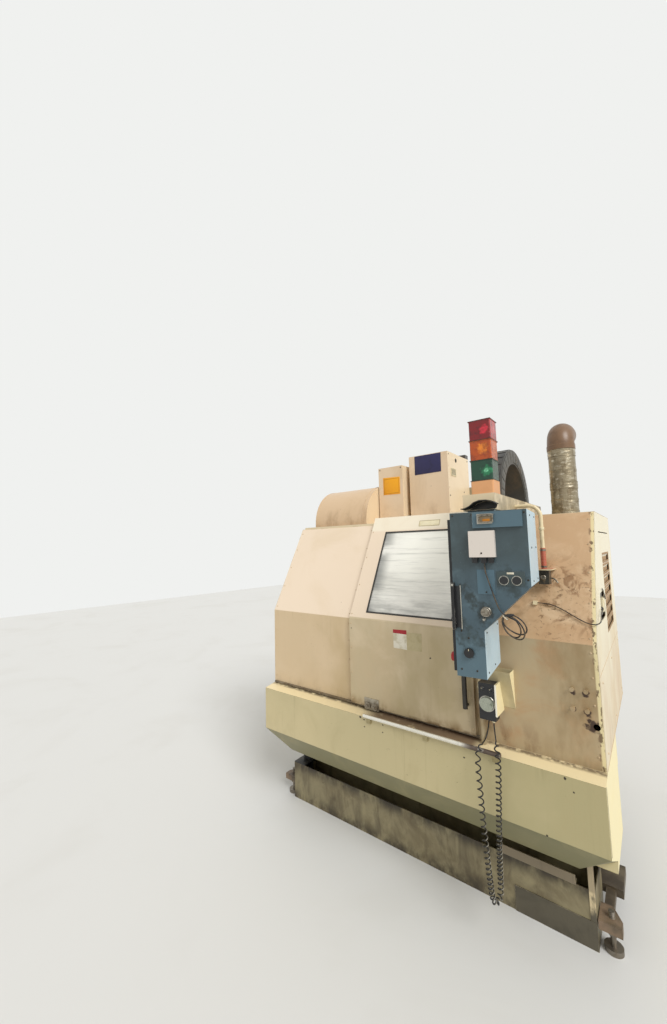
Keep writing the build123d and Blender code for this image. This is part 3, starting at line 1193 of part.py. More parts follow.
# Conduit, cord outlet, bent pipe with its shelf and valve, and a cable clip
with BuildPart() as panel_pipes:
    conduit_y = FRONT - CONDUIT_OUT
    rod("Z", CONDUIT_X, conduit_y, (CONDUIT_LOW, CONDUIT_TOP + CONDUIT_RADIUS), CONDUIT_RADIUS)
    rod("Y", CONDUIT_X, CONDUIT_TOP, (conduit_y, FRONT), CONDUIT_RADIUS)
    block((OUTLET_X - OUTLET_WIDTH / 2, OUTLET_X + OUTLET_WIDTH / 2), (FRONT - OUTLET_OUT, FRONT),
          (OUTLET_LOW, OUTLET_HIGH))
    outlet_y = FRONT - OUTLET_OUT / 2
    rod("Z", OUTLET_X, outlet_y, (OUTLET_LOW - GLAND_LONG, OUTLET_LOW), GLAND_RADIUS)
    pipe_y = FRONT + PIPE_OUT
    with BuildLine() as pipe_line:
        FilletPolyline((ARM_RIGHT, pipe_y, PIPE_Z), (PIPE_X, pipe_y, PIPE_Z),
                       (PIPE_X, pipe_y, SLEEVE_TOP), radius=PIPE_BEND)
    with BuildSketch(Plane(origin=(ARM_RIGHT, pipe_y, PIPE_Z), z_dir=(1, 0, 0))) as pipe_round:
        Circle(PIPE_RADIUS)
    sweep(pipe_round.sketch, path=pipe_line.line)
    shelf_top = SHELF_Z + SHELF_THICK
    rod("Z", PIPE_X, pipe_y, (shelf_top, SLEEVE_TOP), HOSE_RADIUS)
    prism_x([(pipe_y - SHELF_OUT, SHELF_Z), (fold_y(0, SHELF_Z), SHELF_Z),
             (fold_y(0, shelf_top), shelf_top), (pipe_y - SHELF_OUT, shelf_top)],
            PIPE_X - SHELF_WIDTH / 2, PIPE_X + SHELF_WIDTH / 2)
    block((PIPE_X - VALVE_WIDTH / 2, PIPE_X + VALVE_WIDTH / 2),
          (pipe_y - VALVE_WIDTH / 2, pipe_y + VALVE_WIDTH / 2), (VALVE_LOW, SHELF_Z))
    prism_x(fold_band(CLIP_OUT, 0, CLIP_LOW, CLIP_HIGH), CLIP_X, CLIP_X + CLIP_LONG)
finish(panel_pipes, "panel_pipes")

# Document pocket on the right front panel
with BuildPart() as document_pocket:
    pocket_x = (POCKET_LEFT, POCKET_LEFT + POCKET_WIDTH)
    prism_x([(FRONT, POCKET_LOW), (FRONT, POCKET_HIGH), (FRONT - POCKET_OUT, POCKET_HIGH)],
            pocket_x[0], pocket_x[1])
    pocket_slope = POCKET_OUT / (POCKET_HIGH - POCKET_LOW)
    inner_low = POCKET_LOW + 3 * POCKET_WALL / pocket_slope
    prism_x([(FRONT - POCKET_WALL, inner_low), (FRONT - POCKET_WALL, POCKET_HIGH),
             (FRONT - POCKET_WALL - (POCKET_HIGH - inner_low) * pocket_slope, POCKET_HIGH)],
            pocket_x[0] + POCKET_WALL, pocket_x[1] - POCKET_WALL, Mode.SUBTRACT)
finish(document_pocket, "document_pocket")

# Holder, box and dial of the hand pulse generator
with BuildPart() as handwheel_bracket:
    pocket_at_top = POCKET_OUT * (WHEEL_HIGH - POCKET_LOW) / (POCKET_HIGH - POCKET_LOW)
    prism_x([(FRONT - CHEEK_OUT, CHEEK_LOW), (FRONT, CHEEK_LOW), (FRONT, POCKET_LOW),
             (FRONT - pocket_at_top, WHEEL_HIGH), (FRONT - CHEEK_OUT, WHEEL_HIGH)],
            WHEEL_RIGHT, WHEEL_RIGHT + CHEEK_THICK)
finish(handwheel_bracket, "handwheel_bracket")

with BuildPart() as handwheel_box:
    block((WHEEL_LEFT, WHEEL_RIGHT), (WHEEL_FRONT, WHEEL_BACK), (WHEEL_LOW, WHEEL_HIGH))
    fillet(handwheel_box.edges().filter_by(Axis.Z), radius=WHEEL_WALL)
    block((WHEEL_LEFT + WHEEL_WALL, WHEEL_RIGHT - WHEEL_WALL),
          (WHEEL_FRONT + WHEEL_WALL, WHEEL_BACK - WHEEL_WALL),
          (WHEEL_LOW + WHEEL_WALL, WHEEL_HIGH - WHEEL_WALL), Mode.SUBTRACT)
    dial_x = (WHEEL_LEFT + WHEEL_RIGHT) / 2
    rod("Y", dial_x, DIAL_Z, (WHEEL_FRONT, WHEEL_FRONT + WHEEL_WALL), DIAL_STEM + BEARING,
        Mode.SUBTRACT)
finish(handwheel_box, "handwheel_box")

with BuildPart() as handwheel_dial:
    rod("Y", dial_x, DIAL_Z, (WHEEL_FRONT - SEAT - DIAL_HIGH, WHEEL_FRONT - SEAT), DIAL_RADIUS)
    rod("Y", dial_x, DIAL_Z, (WHEEL_FRONT - SEAT, WHEEL_FRONT + DIAL_STEM_LONG), DIAL_STEM)
    grip = DIAL_RADIUS * 0.68
    rod("Y", dial_x + grip, DIAL_Z, (WHEEL_FRONT - SEAT - 2.2 * DIAL_HIGH,
                                     WHEEL_FRONT - SEAT - DIAL_HIGH), DIAL_RADIUS * 0.2)
finish(handwheel_dial, "handwheel_dial")

# Electrical cabinet behind the column, with its mounting plate and switchgear
with BuildPart() as electrical_cabinet:
    for side in (-1, 1):
        block(sorted((side * CABINET_HALF, side * (CABINET_HALF - SHEET))),
              (CABINET_FRONT, CABINET_BACK), (BED_TOP, CABINET_TOP))
    inner_half = CABINET_HALF - SHEET - SEAT
    for low in (BED_TOP, CABINET_TOP - SHEET):
        block((-inner_half, inner_half), (CABINET_FRONT, CABINET_BACK), (low, low + SHEET))
    block((-inner_half, inner_half), (CABINET_FRONT, CABINET_FRONT + SHEET),
          (BED_TOP + SHEET + SEAT, CABINET_TOP - SHEET - SEAT))
    plate_back = CABINET_FRONT + SHEET + SEAT
    plate_y = (plate_back, plate_back + PLATE_THICK)
    plate_half = CABINET_HALF - PLATE_IN
    block((-plate_half, plate_half), plate_y, (BED_TOP + PLATE_IN, CABINET_TOP - PLATE_IN))
    device_y = plate_y[1]
    with Locations((0, device_y, CABINET_TOP - 3.2 * PLATE_IN)):
        with GridLocations(2.6 * PLATE_IN, 0, 5, 1):
            Box(1.9 * PLATE_IN, 2.2 * PLATE_IN, 3.5 * PLATE_IN,
                align=(Align.CENTER, Align.MIN, Align.CENTER))
    with Locations((0, device_y, CABINET_TOP - 7 * PLATE_IN)):
        with GridLocations(PLATE_IN, 0, 12, 1):
            Box(0.8 * PLATE_IN, PLATE_IN, 1.2 * PLATE_IN,
                align=(Align.CENTER, Align.MIN, Align.CENTER))
    with Locations((-2 * PLATE_IN, device_y, BED_TOP + 4 * PLATE_IN)):
        Box(3 * PLATE_IN, 2.4 * PLATE_IN, 3 * PLATE_IN,
            align=(Align.CENTER, Align.MIN, Align.CENTER))
    hinge_x = -CABINET_HALF - HINGE_OUT
    hinge_y = CABINET_BACK + HINGE_BACK
    for z in HINGE_Z:
        rod("Z", hinge_x, hinge_y, (z - HINGE_HALF, z), HINGE_RADIUS)
        rod("Z", hinge_x, hinge_y, (z, z + HINGE_HALF - SEAT), HINGE_PIN)
        block((-CABINET_HALF - HINGE_LEAF, -CABINET_HALF),
              (CABINET_BACK - HINGE_REACH, hinge_y - HINGE_PIN), (z - HINGE_HALF, z))
finish(electrical_cabinet, "electrical_cabinet")

with BuildPart() as cabinet_door:
    door_y = (CABINET_BACK + SEAT, CABINET_BACK + CABINET_DOOR)
    block((-CABINET_HALF, CABINET_HALF), door_y, (BED_TOP + SHEET, CABINET_TOP))
    block((4 * SHEET - CABINET_HALF, CABINET_HALF - 4 * SHEET), (door_y[0], door_y[1] - SHEET),
          (BED_TOP + 5 * SHEET, CABINET_TOP - 4 * SHEET), Mode.SUBTRACT)
    handle_right = CABINET_HALF - CABINET_HANDLE_IN
    block((handle_right - CABINET_HANDLE_WIDTH, handle_right), (door_y[1], BACK),
          (CABINET_HANDLE_Z, CABINET_HANDLE_Z + CABINET_HANDLE_HIGH))
    for z in HINGE_Z:
        rod("Z", hinge_x, hinge_y, (z + SEAT, z + HINGE_HALF), HINGE_RADIUS)
        block((hinge_x, -CABINET_HALF), (hinge_y - HINGE_PIN, hinge_y + HINGE_PIN),
              (z + SEAT, z + HINGE_HALF))
        rod("Z", hinge_x, hinge_y, (z, z + HINGE_HALF), HINGE_PIN + BEARING, Mode.SUBTRACT)
finish(cabinet_door, "cabinet_door")

# The pendant is drawn in its own frame, which stands on the swivel axis
ACROSS = Vector(cos(TURN), sin(TURN), 0)
BACKWARD = Vector(-sin(TURN), cos(TURN), 0)
PENDANT = Plane(origin=(SWIVEL_X, SWIVEL_Y, 0), x_dir=ACROSS, z_dir=(0, 0, 1))


def pendant_prism(points, y0, y1, mode=Mode.ADD):
    """Extrudes an outline of (x, z) in the pendant's frame between two of its y values."""
    start = PENDANT.from_local_coords(Vector(0, y1, 0))
    prism(Plane(origin=start, x_dir=ACROSS, z_dir=-BACKWARD), points, y1 - y0, mode)


def case_outline(inset):
    """Outline of the pendant's case, or of its inside at a wall's thickness."""
    slant = (CASE_RIGHT - CASE_LEG) / (CASE_SLANT_TOP - CASE_SLANT_LOW)
    shift = inset * (sqrt(1 + slant ** 2) - 1) / slant
    return [(inset - CASE_LEFT, CASE_BOTTOM + inset), (CASE_LEG - inset, CASE_BOTTOM + inset),
            (CASE_LEG - inset, CASE_SLANT_LOW + shift),
            (CASE_RIGHT - inset, CASE_SLANT_TOP + shift),
            (CASE_RIGHT - inset, CASE_TOP - inset), (inset - CASE_LEFT, CASE_TOP - inset)]


with BuildPart(PENDANT) as pendant_case:
    pendant_prism(case_outline(0), -CASE_SIDE, CASE_REAR)
    pendant_prism(case_outline(CASE_WALL), CASE_WALL - CASE_SIDE, CASE_REAR - CASE_WALL,
                  Mode.SUBTRACT)
    rod("Z", 0, 0, (CASE_TOP - CASE_WALL, CASE_TOP), CABLE_HOLE, Mode.SUBTRACT)
    for x in (POWER_ON_X, POWER_OFF_X):
        rod("Y", x, POWER_Z, (-CASE_SIDE, CASE_WALL - CASE_SIDE), POWER_STEM + SEAT,
            Mode.SUBTRACT)
finish(pendant_case, "pendant_case")

with BuildPart(PENDANT) as pendant_swivel:
    block((-SWIVEL_WIDTH / 2, SWIVEL_WIDTH / 2), (-SWIVEL_DEEP / 2, SWIVEL_DEEP / 2),
          (ROOF_Z - SEAT - SWIVEL_PLATE, ROOF_Z - SEAT))
    rod("Z", 0, 0, (CASE_TOP, ROOF_Z - SEAT), SWIVEL_HUB)
    rod("Z", 0, 0, (CASE_TOP, CASE_TOP + PIN_RISE), PIN_RADIUS)
    rod("Z", 0, 0, (CASE_TOP, CASE_TOP + PIN_RISE), CABLE_HOLE, Mode.SUBTRACT)
finish(pendant_swivel, "pendant_swivel")

panel_face = -CASE_LEFT - PANEL_THICK
with BuildPart(PENDANT) as pendant_display:
    block((panel_face, -CASE_LEFT), (-PANEL_SIDE, PANEL_REAR), (DISPLAY_LOW, DISPLAY_TOP))
    panel_middle = (PANEL_REAR - PANEL_SIDE) / 2
    block((panel_face, panel_face + SCREEN_DEEP),
          (panel_middle - SCREEN_HALF, panel_middle + SCREEN_HALF), (SCREEN_LOW, SCREEN_TOP),
          Mode.SUBTRACT)
    for row in range(KEY_ROWS):
        for place in range(KEY_COLUMNS):
            y = panel_middle + (place - (KEY_COLUMNS - 1) / 2) * KEY_PITCH
            z = KEYS_Z + (row - (KEY_ROWS - 1) / 2) * KEY_PITCH
            block((panel_face - KEY_PROUD, panel_face), (y - KEY_SIZE / 2, y + KEY_SIZE / 2),
                  (z - KEY_SIZE / 2, z + KEY_SIZE / 2))
finish(pendant_display, "pendant_display")

with BuildPart(PENDANT) as operator_panel:
    block((panel_face, -CASE_LEFT), (-PANEL_SIDE, PANEL_REAR), (OPERATOR_LOW, OPERATOR_TOP))
    for y, z in ((STOP_Y, STOP_Z), (START_Y, START_Z), (OVERRIDE_Y, OVERRIDE_Z)):
        rod("X", y, z, (panel_face, -CASE_LEFT), STEM_RADIUS + BEARING, Mode.SUBTRACT)
finish(operator_panel, "operator_panel")


def push_button(y, z, radius, high):
    """A round head that stands off the panel by its travel, on a stem in the panel's bore."""
    head = panel_face - PUSH_TRAVEL - SEAT
    with BuildPart(PENDANT) as button:
        rod("X", y, z, (head - high, head), radius)
        fillet(button.edges().sort_by(Axis.X)[0], radius=high * 0.3)
        rod("X", y, z, (head, panel_face + STEM_LONG), STEM_RADIUS)
    return button


finish(push_button(STOP_Y, STOP_Z, STOP_RADIUS, STOP_HIGH), "emergency_stop")
finish(push_button(START_Y, START_Z, START_RADIUS, START_HIGH), "cycle_start")

with BuildPart(PENDANT) as override_knob:
    knob_foot = panel_face - SEAT
    rod("X", OVERRIDE_Y, OVERRIDE_Z, (knob_foot - OVERRIDE_HIGH, knob_foot), OVERRIDE_RADIUS)
    rod("X", OVERRIDE_Y, OVERRIDE_Z, (knob_foot, panel_face + STEM_LONG), STEM_RADIUS)
    block((knob_foot - OVERRIDE_HIGH, knob_foot - OVERRIDE_HIGH * 0.8),
          (OVERRIDE_Y - SHEET / 2, OVERRIDE_Y + SHEET / 2),
          (OVERRIDE_Z, OVERRIDE_Z + OVERRIDE_RADIUS), Mode.SUBTRACT)
finish(override_knob, "override_knob")

# Fittings on the narrow side of the case, each a solid of its own
face = -CASE_SIDE
with BuildPart(PENDANT) as pendant_fittings:
    block((BAR_LEFT, BAR_RIGHT), (face - BAR_PROUD, face), (BAR_LOW, BAR_HIGH))
    block((LATCH_LEFT, LATCH_RIGHT), (face - BAR_PROUD - LATCH_PROUD, face - BAR_PROUD),
          (LATCH_LOW, LATCH_HIGH))
    block((BOX_LEFT, BOX_RIGHT), (face - BOX_PROUD, face), (BOX_LOW, BOX_HIGH))
    for x in PLUG_X:
        block((x - PLUG_WIDTH / 2, x + PLUG_WIDTH / 2), (face - PLUG_DEEP, face - CASE_WALL),
              (BOX_LOW - PLUG_LONG, BOX_LOW))
    block((COVER_LEFT, COVER_RIGHT), (face - COVER_PROUD, face), (COVER_LOW, COVER_HIGH))
    block((KNOB_PLATE_LEFT, KNOB_PLATE_RIGHT), (face - KNOB_PLATE_PROUD, face),
          (KNOB_PLATE_LOW, KNOB_PLATE_HIGH))
    for x in (POWER_ON_X, POWER_OFF_X):
        rod("Y", x, POWER_Z, (face - POWER_RING_PROUD, face - KNOB_PLATE_PROUD), POWER_RING)
        rod("Y", x, POWER_Z, (face - POWER_RING_PROUD, face - KNOB_PLATE_PROUD),
            POWER_CAP + SEAT, Mode.SUBTRACT)
        rod("Y", x, POWER_Z, (face - KNOB_PLATE_PROUD, face), POWER_STEM + SEAT, Mode.SUBTRACT)
    rod("Y", SOCKET_X, SOCKET_Z, (face - SOCKET_PROUD, face), SOCKET_RADIUS)
    rod("Y", DARK_KNOB_X, DARK_KNOB_Z, (face - DARK_KNOB_PROUD, face), DARK_KNOB_RADIUS)
    grab_x = (-GRAB_LEFT, GRAB_WIDTH - GRAB_LEFT)
    block(grab_x, (face - GRAB_PROUD, face), (GRAB_LOW, GRAB_HIGH))
    block(grab_x, (face - GRAB_PROUD / 2, face), (GRAB_LOW + GRAB_FOOT, GRAB_HIGH - GRAB_FOOT),
          Mode.SUBTRACT)
    block((-GRAB_LEFT, -CASE_LEFT), (face - GRAB_PROUD / 2, face), (GRAB_LOW, GRAB_HIGH),
          Mode.SUBTRACT)
finish(pendant_fittings, "pendant_fittings")


def power_button(x):
    """A round cap inside its ring, on a stem through the case's wall."""
    cap_back = face - KNOB_PLATE_PROUD - POWER_TRAVEL - SEAT
    with BuildPart(PENDANT) as button:
        rod("Y", x, POWER_Z, (face - POWER_CAP_PROUD, cap_back), POWER_CAP)
        rod("Y", x, POWER_Z, (cap_back, face + 3 * CASE_WALL), POWER_STEM)
    return button


finish(power_button(POWER_ON_X), "power_on_button")
finish(power_button(POWER_OFF_X), "power_off_button")

# Curly cord of the hand pulse generator: two plain leads and the coil as one fat tube
curly_lead_in = [(OUTLET_X, outlet_y, OUTLET_LOW - GLAND_LONG), (OUTLET_X, outlet_y, 1000),
                 (554, -809, 925), (548, -838, 876), (543, -884, 863), (541, -926, 859),
                 (540, -948, 838)]
curly_coil = [(540, -948, 838), (542, -962, 790), (549, -968, 690), (557, -971, 529),
              (566, -973, 415), (575, -974, 300), (580, -974, 240), (587, -962, 200),
              (600, -928, 200), (604, -916, 242), (605, -918, 310), (609, -924, 425),
              (617, -929, 560), (624, -933, 690), (630, -937, 790), (630, -937, 842),
              (622, -916, 877), (608, -880, 893)]
curly_lead_out = [(608, -880, 893), (603, -873, 925), (600, -870, 958), (600, -870, WHEEL_LOW)]


def tube(points, diameter):
    """Sweeps a round section along a cord's route, inside the piece being built."""
    with BuildLine() as route:
        cord_path(points)
    start = Vector(*points[0])
    heading = Vector(*points[1]) - start
    with BuildSketch(Plane(origin=start, z_dir=heading)) as section:
        Circle(diameter / 2)
    sweep(section.sketch, path=route.line)


with BuildPart() as curly_cord:
    tube(curly_lead_in, CURLY_WIRE)
    tube(curly_coil, CURLY_OUTER)
    tube(curly_lead_out, CURLY_WIRE)
finish(curly_cord, "curly_cord")

# Cable from the clip on the slanted panel, round the corner and into the side wall
side_route = [(CLIP_X + CLIP_LONG, fold_y(8, 1551), 1551), (845, fold_y(8, 1551), 1551),
              (890, fold_y(9, 1538), 1538), (934, fold_y(7, 1516), 1516),
              (975, fold_y(9, 1493), 1493), (1012, fold_y(8, 1476), 1476),
              (1046, fold_y(15, 1472), 1472), (1064, -730, 1478), (1064, -690, 1488),
              (1060, -640, 1499), (1058, -590, 1505), (1059, -548, 1508), (1058, -506, 1509),
              (1045, -468, 1507)]
with BuildPart() as side_cable:
    tube(side_route, SIDE_WIRE)
finish(side_cable, "side_cable")

# Cable from the grey box, with its spare length tied in a hank at the end
plug_low = BOX_LOW - PLUG_LONG
plug_middle = face - (PLUG_DEEP + CASE_WALL) / 2
pendant_points = [(PLUG_X[1], plug_middle, plug_low), (PLUG_X[1], plug_middle, 1738),
                  (44, plug_middle - 2, 1695), (56, plug_middle - 4, 1655),
                  (68, plug_middle - 5, 1615), (82, plug_middle - 5, 1580),
                  (96, plug_middle - 5, 1552)]
pendant_route = [tuple(PENDANT.from_local_coords(Vector(*p))) for p in pendant_points]
hank = [(88, 1552), (150, 1545), (188, 1512), (200, 1472), (186, 1448), (150, 1440),
        (128, 1452), (104, 1505)]
with BuildPart() as pendant_cable:
    tube(pendant_route, PENDANT_WIRE)
    hank_y = plug_middle - TIE_LOOP_OUT
    pendant_prism(hank, hank_y - TIE_LOOP_THICK / 2, hank_y + TIE_LOOP_THICK / 2)
finish(pendant_cable, "pendant_cable")
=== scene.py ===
"""Looks for a vertical machining centre: its finishes, cords and small parts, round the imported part."""

import math

import bmesh
import bpy
from bpy.props import FloatProperty, FloatVectorProperty, PointerProperty
from mathutils import Matrix, Vector


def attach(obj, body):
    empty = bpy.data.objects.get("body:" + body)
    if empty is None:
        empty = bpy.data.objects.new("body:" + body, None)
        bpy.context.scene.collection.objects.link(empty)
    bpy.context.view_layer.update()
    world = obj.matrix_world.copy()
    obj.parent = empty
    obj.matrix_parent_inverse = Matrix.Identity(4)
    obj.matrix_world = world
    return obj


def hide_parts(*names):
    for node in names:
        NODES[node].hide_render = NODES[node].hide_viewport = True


bl_info = {
    "name": "Machining centre looks",
    "version": (1, 0, 0),
    "blender": (4, 5, 0),
    "location": "View3D > Sidebar > Machine",
    "description": "Dresses the packed machining centre with its finishes, cords and small parts",
    "category": "Object",
}

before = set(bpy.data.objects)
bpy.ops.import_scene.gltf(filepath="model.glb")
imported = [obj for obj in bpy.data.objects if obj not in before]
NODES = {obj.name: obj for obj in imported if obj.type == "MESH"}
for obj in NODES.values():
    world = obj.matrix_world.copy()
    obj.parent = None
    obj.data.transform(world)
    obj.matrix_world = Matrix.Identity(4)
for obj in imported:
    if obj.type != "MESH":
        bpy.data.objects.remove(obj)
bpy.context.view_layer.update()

# Places on the machine, in metres
HALF = 1.050  # half the width of the enclosure
FRONT = -0.78993  # the outer face of the upright front
BEND_Z = 1.385  # the fold, above which the front leans back
SLOPE = math.atan2(0.340, 0.630)  # its lean, as run and rise
SWIVEL = Vector((0.650, -1.00493, 0.0))  # the pendant's axis
SWIVEL_TURN = math.radians(5.8)  # how far the pendant stands turned
CASE_SIDE = -0.1745  # the pendant's face towards the operator, in its own axes
DOOR_OUT = 0.030  # how far the door stands out from the front
DOOR_SIDES = (-0.296, 0.476)  # the screw lines at the door's two sides
LOUVRES, LOUVRE_PITCH = 7, 0.064
ARCH_Y, ARCH_Z, ARCH_RADIUS = -0.060, 2.060, 0.3005  # the seam on the magazine cover's arch
CHAIN_Y, CHAIN_Z = -0.430, 2.093  # the middle of the energy chain's half ring
LINKS, LINK_TURN, PIN_RADIUS = 15, 12, 0.2775  # its links, the degrees each takes up, and where their pins sit
DUCT_AXIS = (0.868, -0.090)
HOSE_AXIS = (0.838, -0.68993)
# The six levelling feet, two under the front and four under the bed
FEET = [(side * 1.005, -0.63993) for side in (-1, 1)]
FEET += [(side * 0.520, y) for side in (-1, 1) for y in (0.300, 1.100)]


def axes(x, y, origin):
    """A frame with its X and Y along two directions, and its Z out of the surface they lie in."""
    x, y = Vector(x), Vector(y)
    return Matrix.Translation(origin) @ Matrix((x, y, x.cross(y))).transposed().to_4x4()


def front_plane(x, y, z):
    """A frame on a surface that faces the front, with its Y upwards."""
    return axes((1, 0, 0), (0, 0, 1), (x, y, z))


def right_plane(x, y, z):
    """A frame on a surface that faces the right, with its Y upwards."""
    return axes((0, 1, 0), (0, 0, 1), (x, y, z))


def moved(x, y, z=0.0):
    """A shift along the three axes."""
    return Matrix.Translation((x, y, z))


UPRIGHT = front_plane(0, FRONT, 0)
SLANT = axes((1, 0, 0), (0, math.sin(SLOPE), math.cos(SLOPE)), (0, FRONT, BEND_Z))
RIGHT = right_plane(HALF, 0, 0)
REAR = axes((-1, 0, 0), (0, 0, 1), (0, 1.200, 0))
PENDANT = Matrix.Translation(SWIVEL) @ Matrix.Rotation(SWIVEL_TURN, 4, "Z")
CASE_FRONT = PENDANT @ front_plane(0, CASE_SIDE, 0)


def on_circle(radius, turn):
    """The x and y of a point on a circle round the origin."""
    return radius * math.cos(turn), radius * math.sin(turn)


def up_slant(z, out=0.0):
    """How far up the slanted front a height lies, for a point that stands out from it."""
    return (z - BEND_Z - out * math.sin(SLOPE)) / math.cos(SLOPE)


def front_y(out, z):
    """The y of a point that stands out from the folded front by a distance, at a height."""
    if z <= BEND_Z + out * math.tan(SLOPE / 2):
        return FRONT - out
    return FRONT - out / math.cos(SLOPE) + (z - BEND_Z) * math.tan(SLOPE)


# Colours and nodes


def linear(code):
    """An sRGB hex colour as linear red, green, blue and a full alpha."""
    parts = [int(code[i : i + 2], 16) / 255 for i in (1, 3, 5)]
    return (*[c / 12.92 if c <= 0.04045 else ((c + 0.055) / 1.055) ** 2.4 for c in parts], 1.0)


def add(tree, kind, inputs=(), **settings):
    """Adds one node with its settings, and sets or links its inputs."""
    made = tree.nodes.new(kind)
    for name, value in settings.items():
        setattr(made, name, value)
    for name, value in dict(inputs).items():
        if isinstance(value, bpy.types.NodeSocket):
            tree.links.new(value, made.inputs[name])
        else:
            made.inputs[name].default_value = value
    return made


def ramp(tree, value, start, end, kind="SMOOTHSTEP"):
    """The share, from 0 to 1, that a value has gone from a start to an end."""
    return add(tree, "ShaderNodeMapRange", {0: value, 1: start, 2: end}, interpolation_type=kind).outputs[0]


def joined(tree, operation, one, two):
    """Two numbers joined by an operation."""
    return add(tree, "ShaderNodeMath", {0: one, 1: two}, operation=operation).outputs[0]


def noise_share(tree, place, grain, cut, detail=4.0, warp=0.0):
    """A noise's share between two levels, with its patches per metre along X, Y and Z."""
    placed = add(tree, "ShaderNodeMapping", {"Vector": place, "Scale": grain})
    look = {"Vector": placed.outputs[0], "Scale": 1.0, "Detail": detail, "Roughness": 0.62, "Distortion": warp}
    return ramp(tree, add(tree, "ShaderNodeTexNoise", look).outputs[0], *cut)


def spot_share(tree, place, spots):
    """The share of ragged round spots, each a place and a radius: 18 mm of raggedness, and a soft rim."""
    ragged = add(tree, "ShaderNodeTexNoise", {"Vector": place, "Scale": 55.0, "Detail": 3.0})
    swing = add(tree, "ShaderNodeVectorMath", {0: ragged.outputs["Color"], 1: (0.5, 0.5, 0.5)},
        operation="SUBTRACT").outputs[0]
    total = 0.0
    for *at, radius in spots:
        shift = add(tree, "ShaderNodeVectorMath", {0: swing, "Scale": radius * 1.6}, operation="SCALE").outputs[0]
        shift = add(tree, "ShaderNodeVectorMath", {0: shift, 1: place}, operation="ADD").outputs[0]
        away = add(tree, "ShaderNodeVectorMath", {0: shift, 1: at}, operation="DISTANCE").outputs["Value"]
        total = joined(tree, "MAXIMUM", ramp(tree, away, radius, radius * 0.55), total)
    return total


def share_of(tree, place, layer):
    """How much of one stain, scuff, worn edge, painted highlight or painted shade shows at each point of a surface.
    """
    shares = []
    if "grain" in layer:
        shares.append(noise_share(tree, place, layer["grain"], layer["cut"], layer.get("detail", 4.0),
            layer.get("warp", 0.0)))
    if "within" in layer:
        shares.append(noise_share(tree, place, *layer["within"]))
    if "edge" in layer:
        rounded = add(tree, "ShaderNodeBevel", {"Radius": layer["edge"]}, samples=4)
        flat = add(tree, "ShaderNodeNewGeometry")
        match = add(tree, "ShaderNodeVectorMath", {0: rounded.outputs[0], 1: flat.outputs["Normal"]},
            operation="DOT_PRODUCT")
        # A rounded edge's normal leaves the flat one by up to 37 degrees, where the wear is full
        shares.append(ramp(tree, match.outputs["Value"], 0.995, 0.80, "LINEAR"))
    if "facing" in layer:
        axis, start, end = layer["facing"]
        normal = add(tree, "ShaderNodeSeparateXYZ", {0: add(tree, "ShaderNodeTexCoord").outputs["Normal"]})
        shares.append(ramp(tree, normal.outputs[axis], start, end, "LINEAR"))
    for axis, start, end in layer.get("zones", ()):
        along = add(tree, "ShaderNodeSeparateXYZ", {0: place})
        shares.append(ramp(tree, along.outputs[axis], start, end))
    if "spots" in layer:
        shares.append(spot_share(tree, place, layer["spots"]))
    total = layer.get("most", 1.0)
    for share in shares:
        total = joined(tree, "MULTIPLY", share, total)
    return total


def surface(name, colour, rough, layers=(), dents=(), pendant=False, **settings):
    """A finish: its base colour and gloss, the stains, wear and painted light and shade laid over it, and the bumps
    of its surface.
    """
    made = bpy.data.materials.new(name)
    made.use_nodes = True
    tree = made.node_tree
    tree.nodes.clear()
    place = add(tree, "ShaderNodeTexCoord").outputs["Object"]
    if pendant:
        own_axes = {"Vector": place, "Location": tuple(SWIVEL), "Rotation": (0, 0, SWIVEL_TURN)}
        place = add(tree, "ShaderNodeMapping", own_axes, vector_type="TEXTURE").outputs[0]
    shade, gloss = (colour if isinstance(colour, tuple) else linear(colour)), rough
    for layer in layers:
        share = share_of(tree, place, layer)
        shade = add(tree, "ShaderNodeMix", {0: share, 6: shade, 7: linear(layer["tint"])},
            data_type="RGBA").outputs[2]
        if "rough" in layer:
            gloss = add(tree, "ShaderNodeMix", {0: share, 2: gloss, 3: layer["rough"]}, data_type="FLOAT").outputs[0]
    shader = add(tree, "ShaderNodeBsdfPrincipled", {"Base Color": shade, "Roughness": gloss, **settings})
    normal = None
    for grain, height in dents:
        placed = add(tree, "ShaderNodeMapping", {"Vector": place, "Scale": grain})
        noise = add(tree, "ShaderNodeTexNoise", {"Vector": placed.outputs[0], "Scale": 1.0, "Detail": 2.0})
        bump = add(tree, "ShaderNodeBump", {"Height": noise.outputs[0], "Strength": 1.0, "Distance": height})
        if normal is not None:
            tree.links.new(normal, bump.inputs["Normal"])
        normal = bump.outputs[0]
    if normal is not None:
        tree.links.new(normal, shader.inputs["Normal"])
    add(tree, "ShaderNodeOutputMaterial", {"Surface": shader.outputs[0]})
    return made


# Patterns are given in patches per metre along X, Y and Z. A run down a panel is narrow in X and Y and long in Z.
PEEL = ((260, 260, 260), 0.00010)  # sprayed paint's ripple, drawn as 4 mm because 1 mm is too fine to show
WAVE = ((1.6, 1.6, 1.6), 0.003)  # thin sheet's slow buckle, over half a metre
CAST = ((420, 420, 420), 0.0004)  # the sand texture of a painted casting


def tone(tint, most=1.0, *zones, **more):
    """An even tint, within its zones: each an axis, and where along it the tint starts and is full."""
    return dict(tint=tint, most=most, zones=zones, **more)


def patch(tint, grain, cut, most=1.0, *zones, **more):
    """A patchy tint: its patches per metre, the same each way or one for each axis, and its noise's two levels."""
    return tone(tint, most, *zones, grain=grain if isinstance(grain, tuple) else (grain,) * 3, cut=cut, **more)


def in_plane(y, *spots):
    """Spots at one y, each given by its x, z and radius."""
    return [(x, y, z, radius) for x, z, radius in spots]


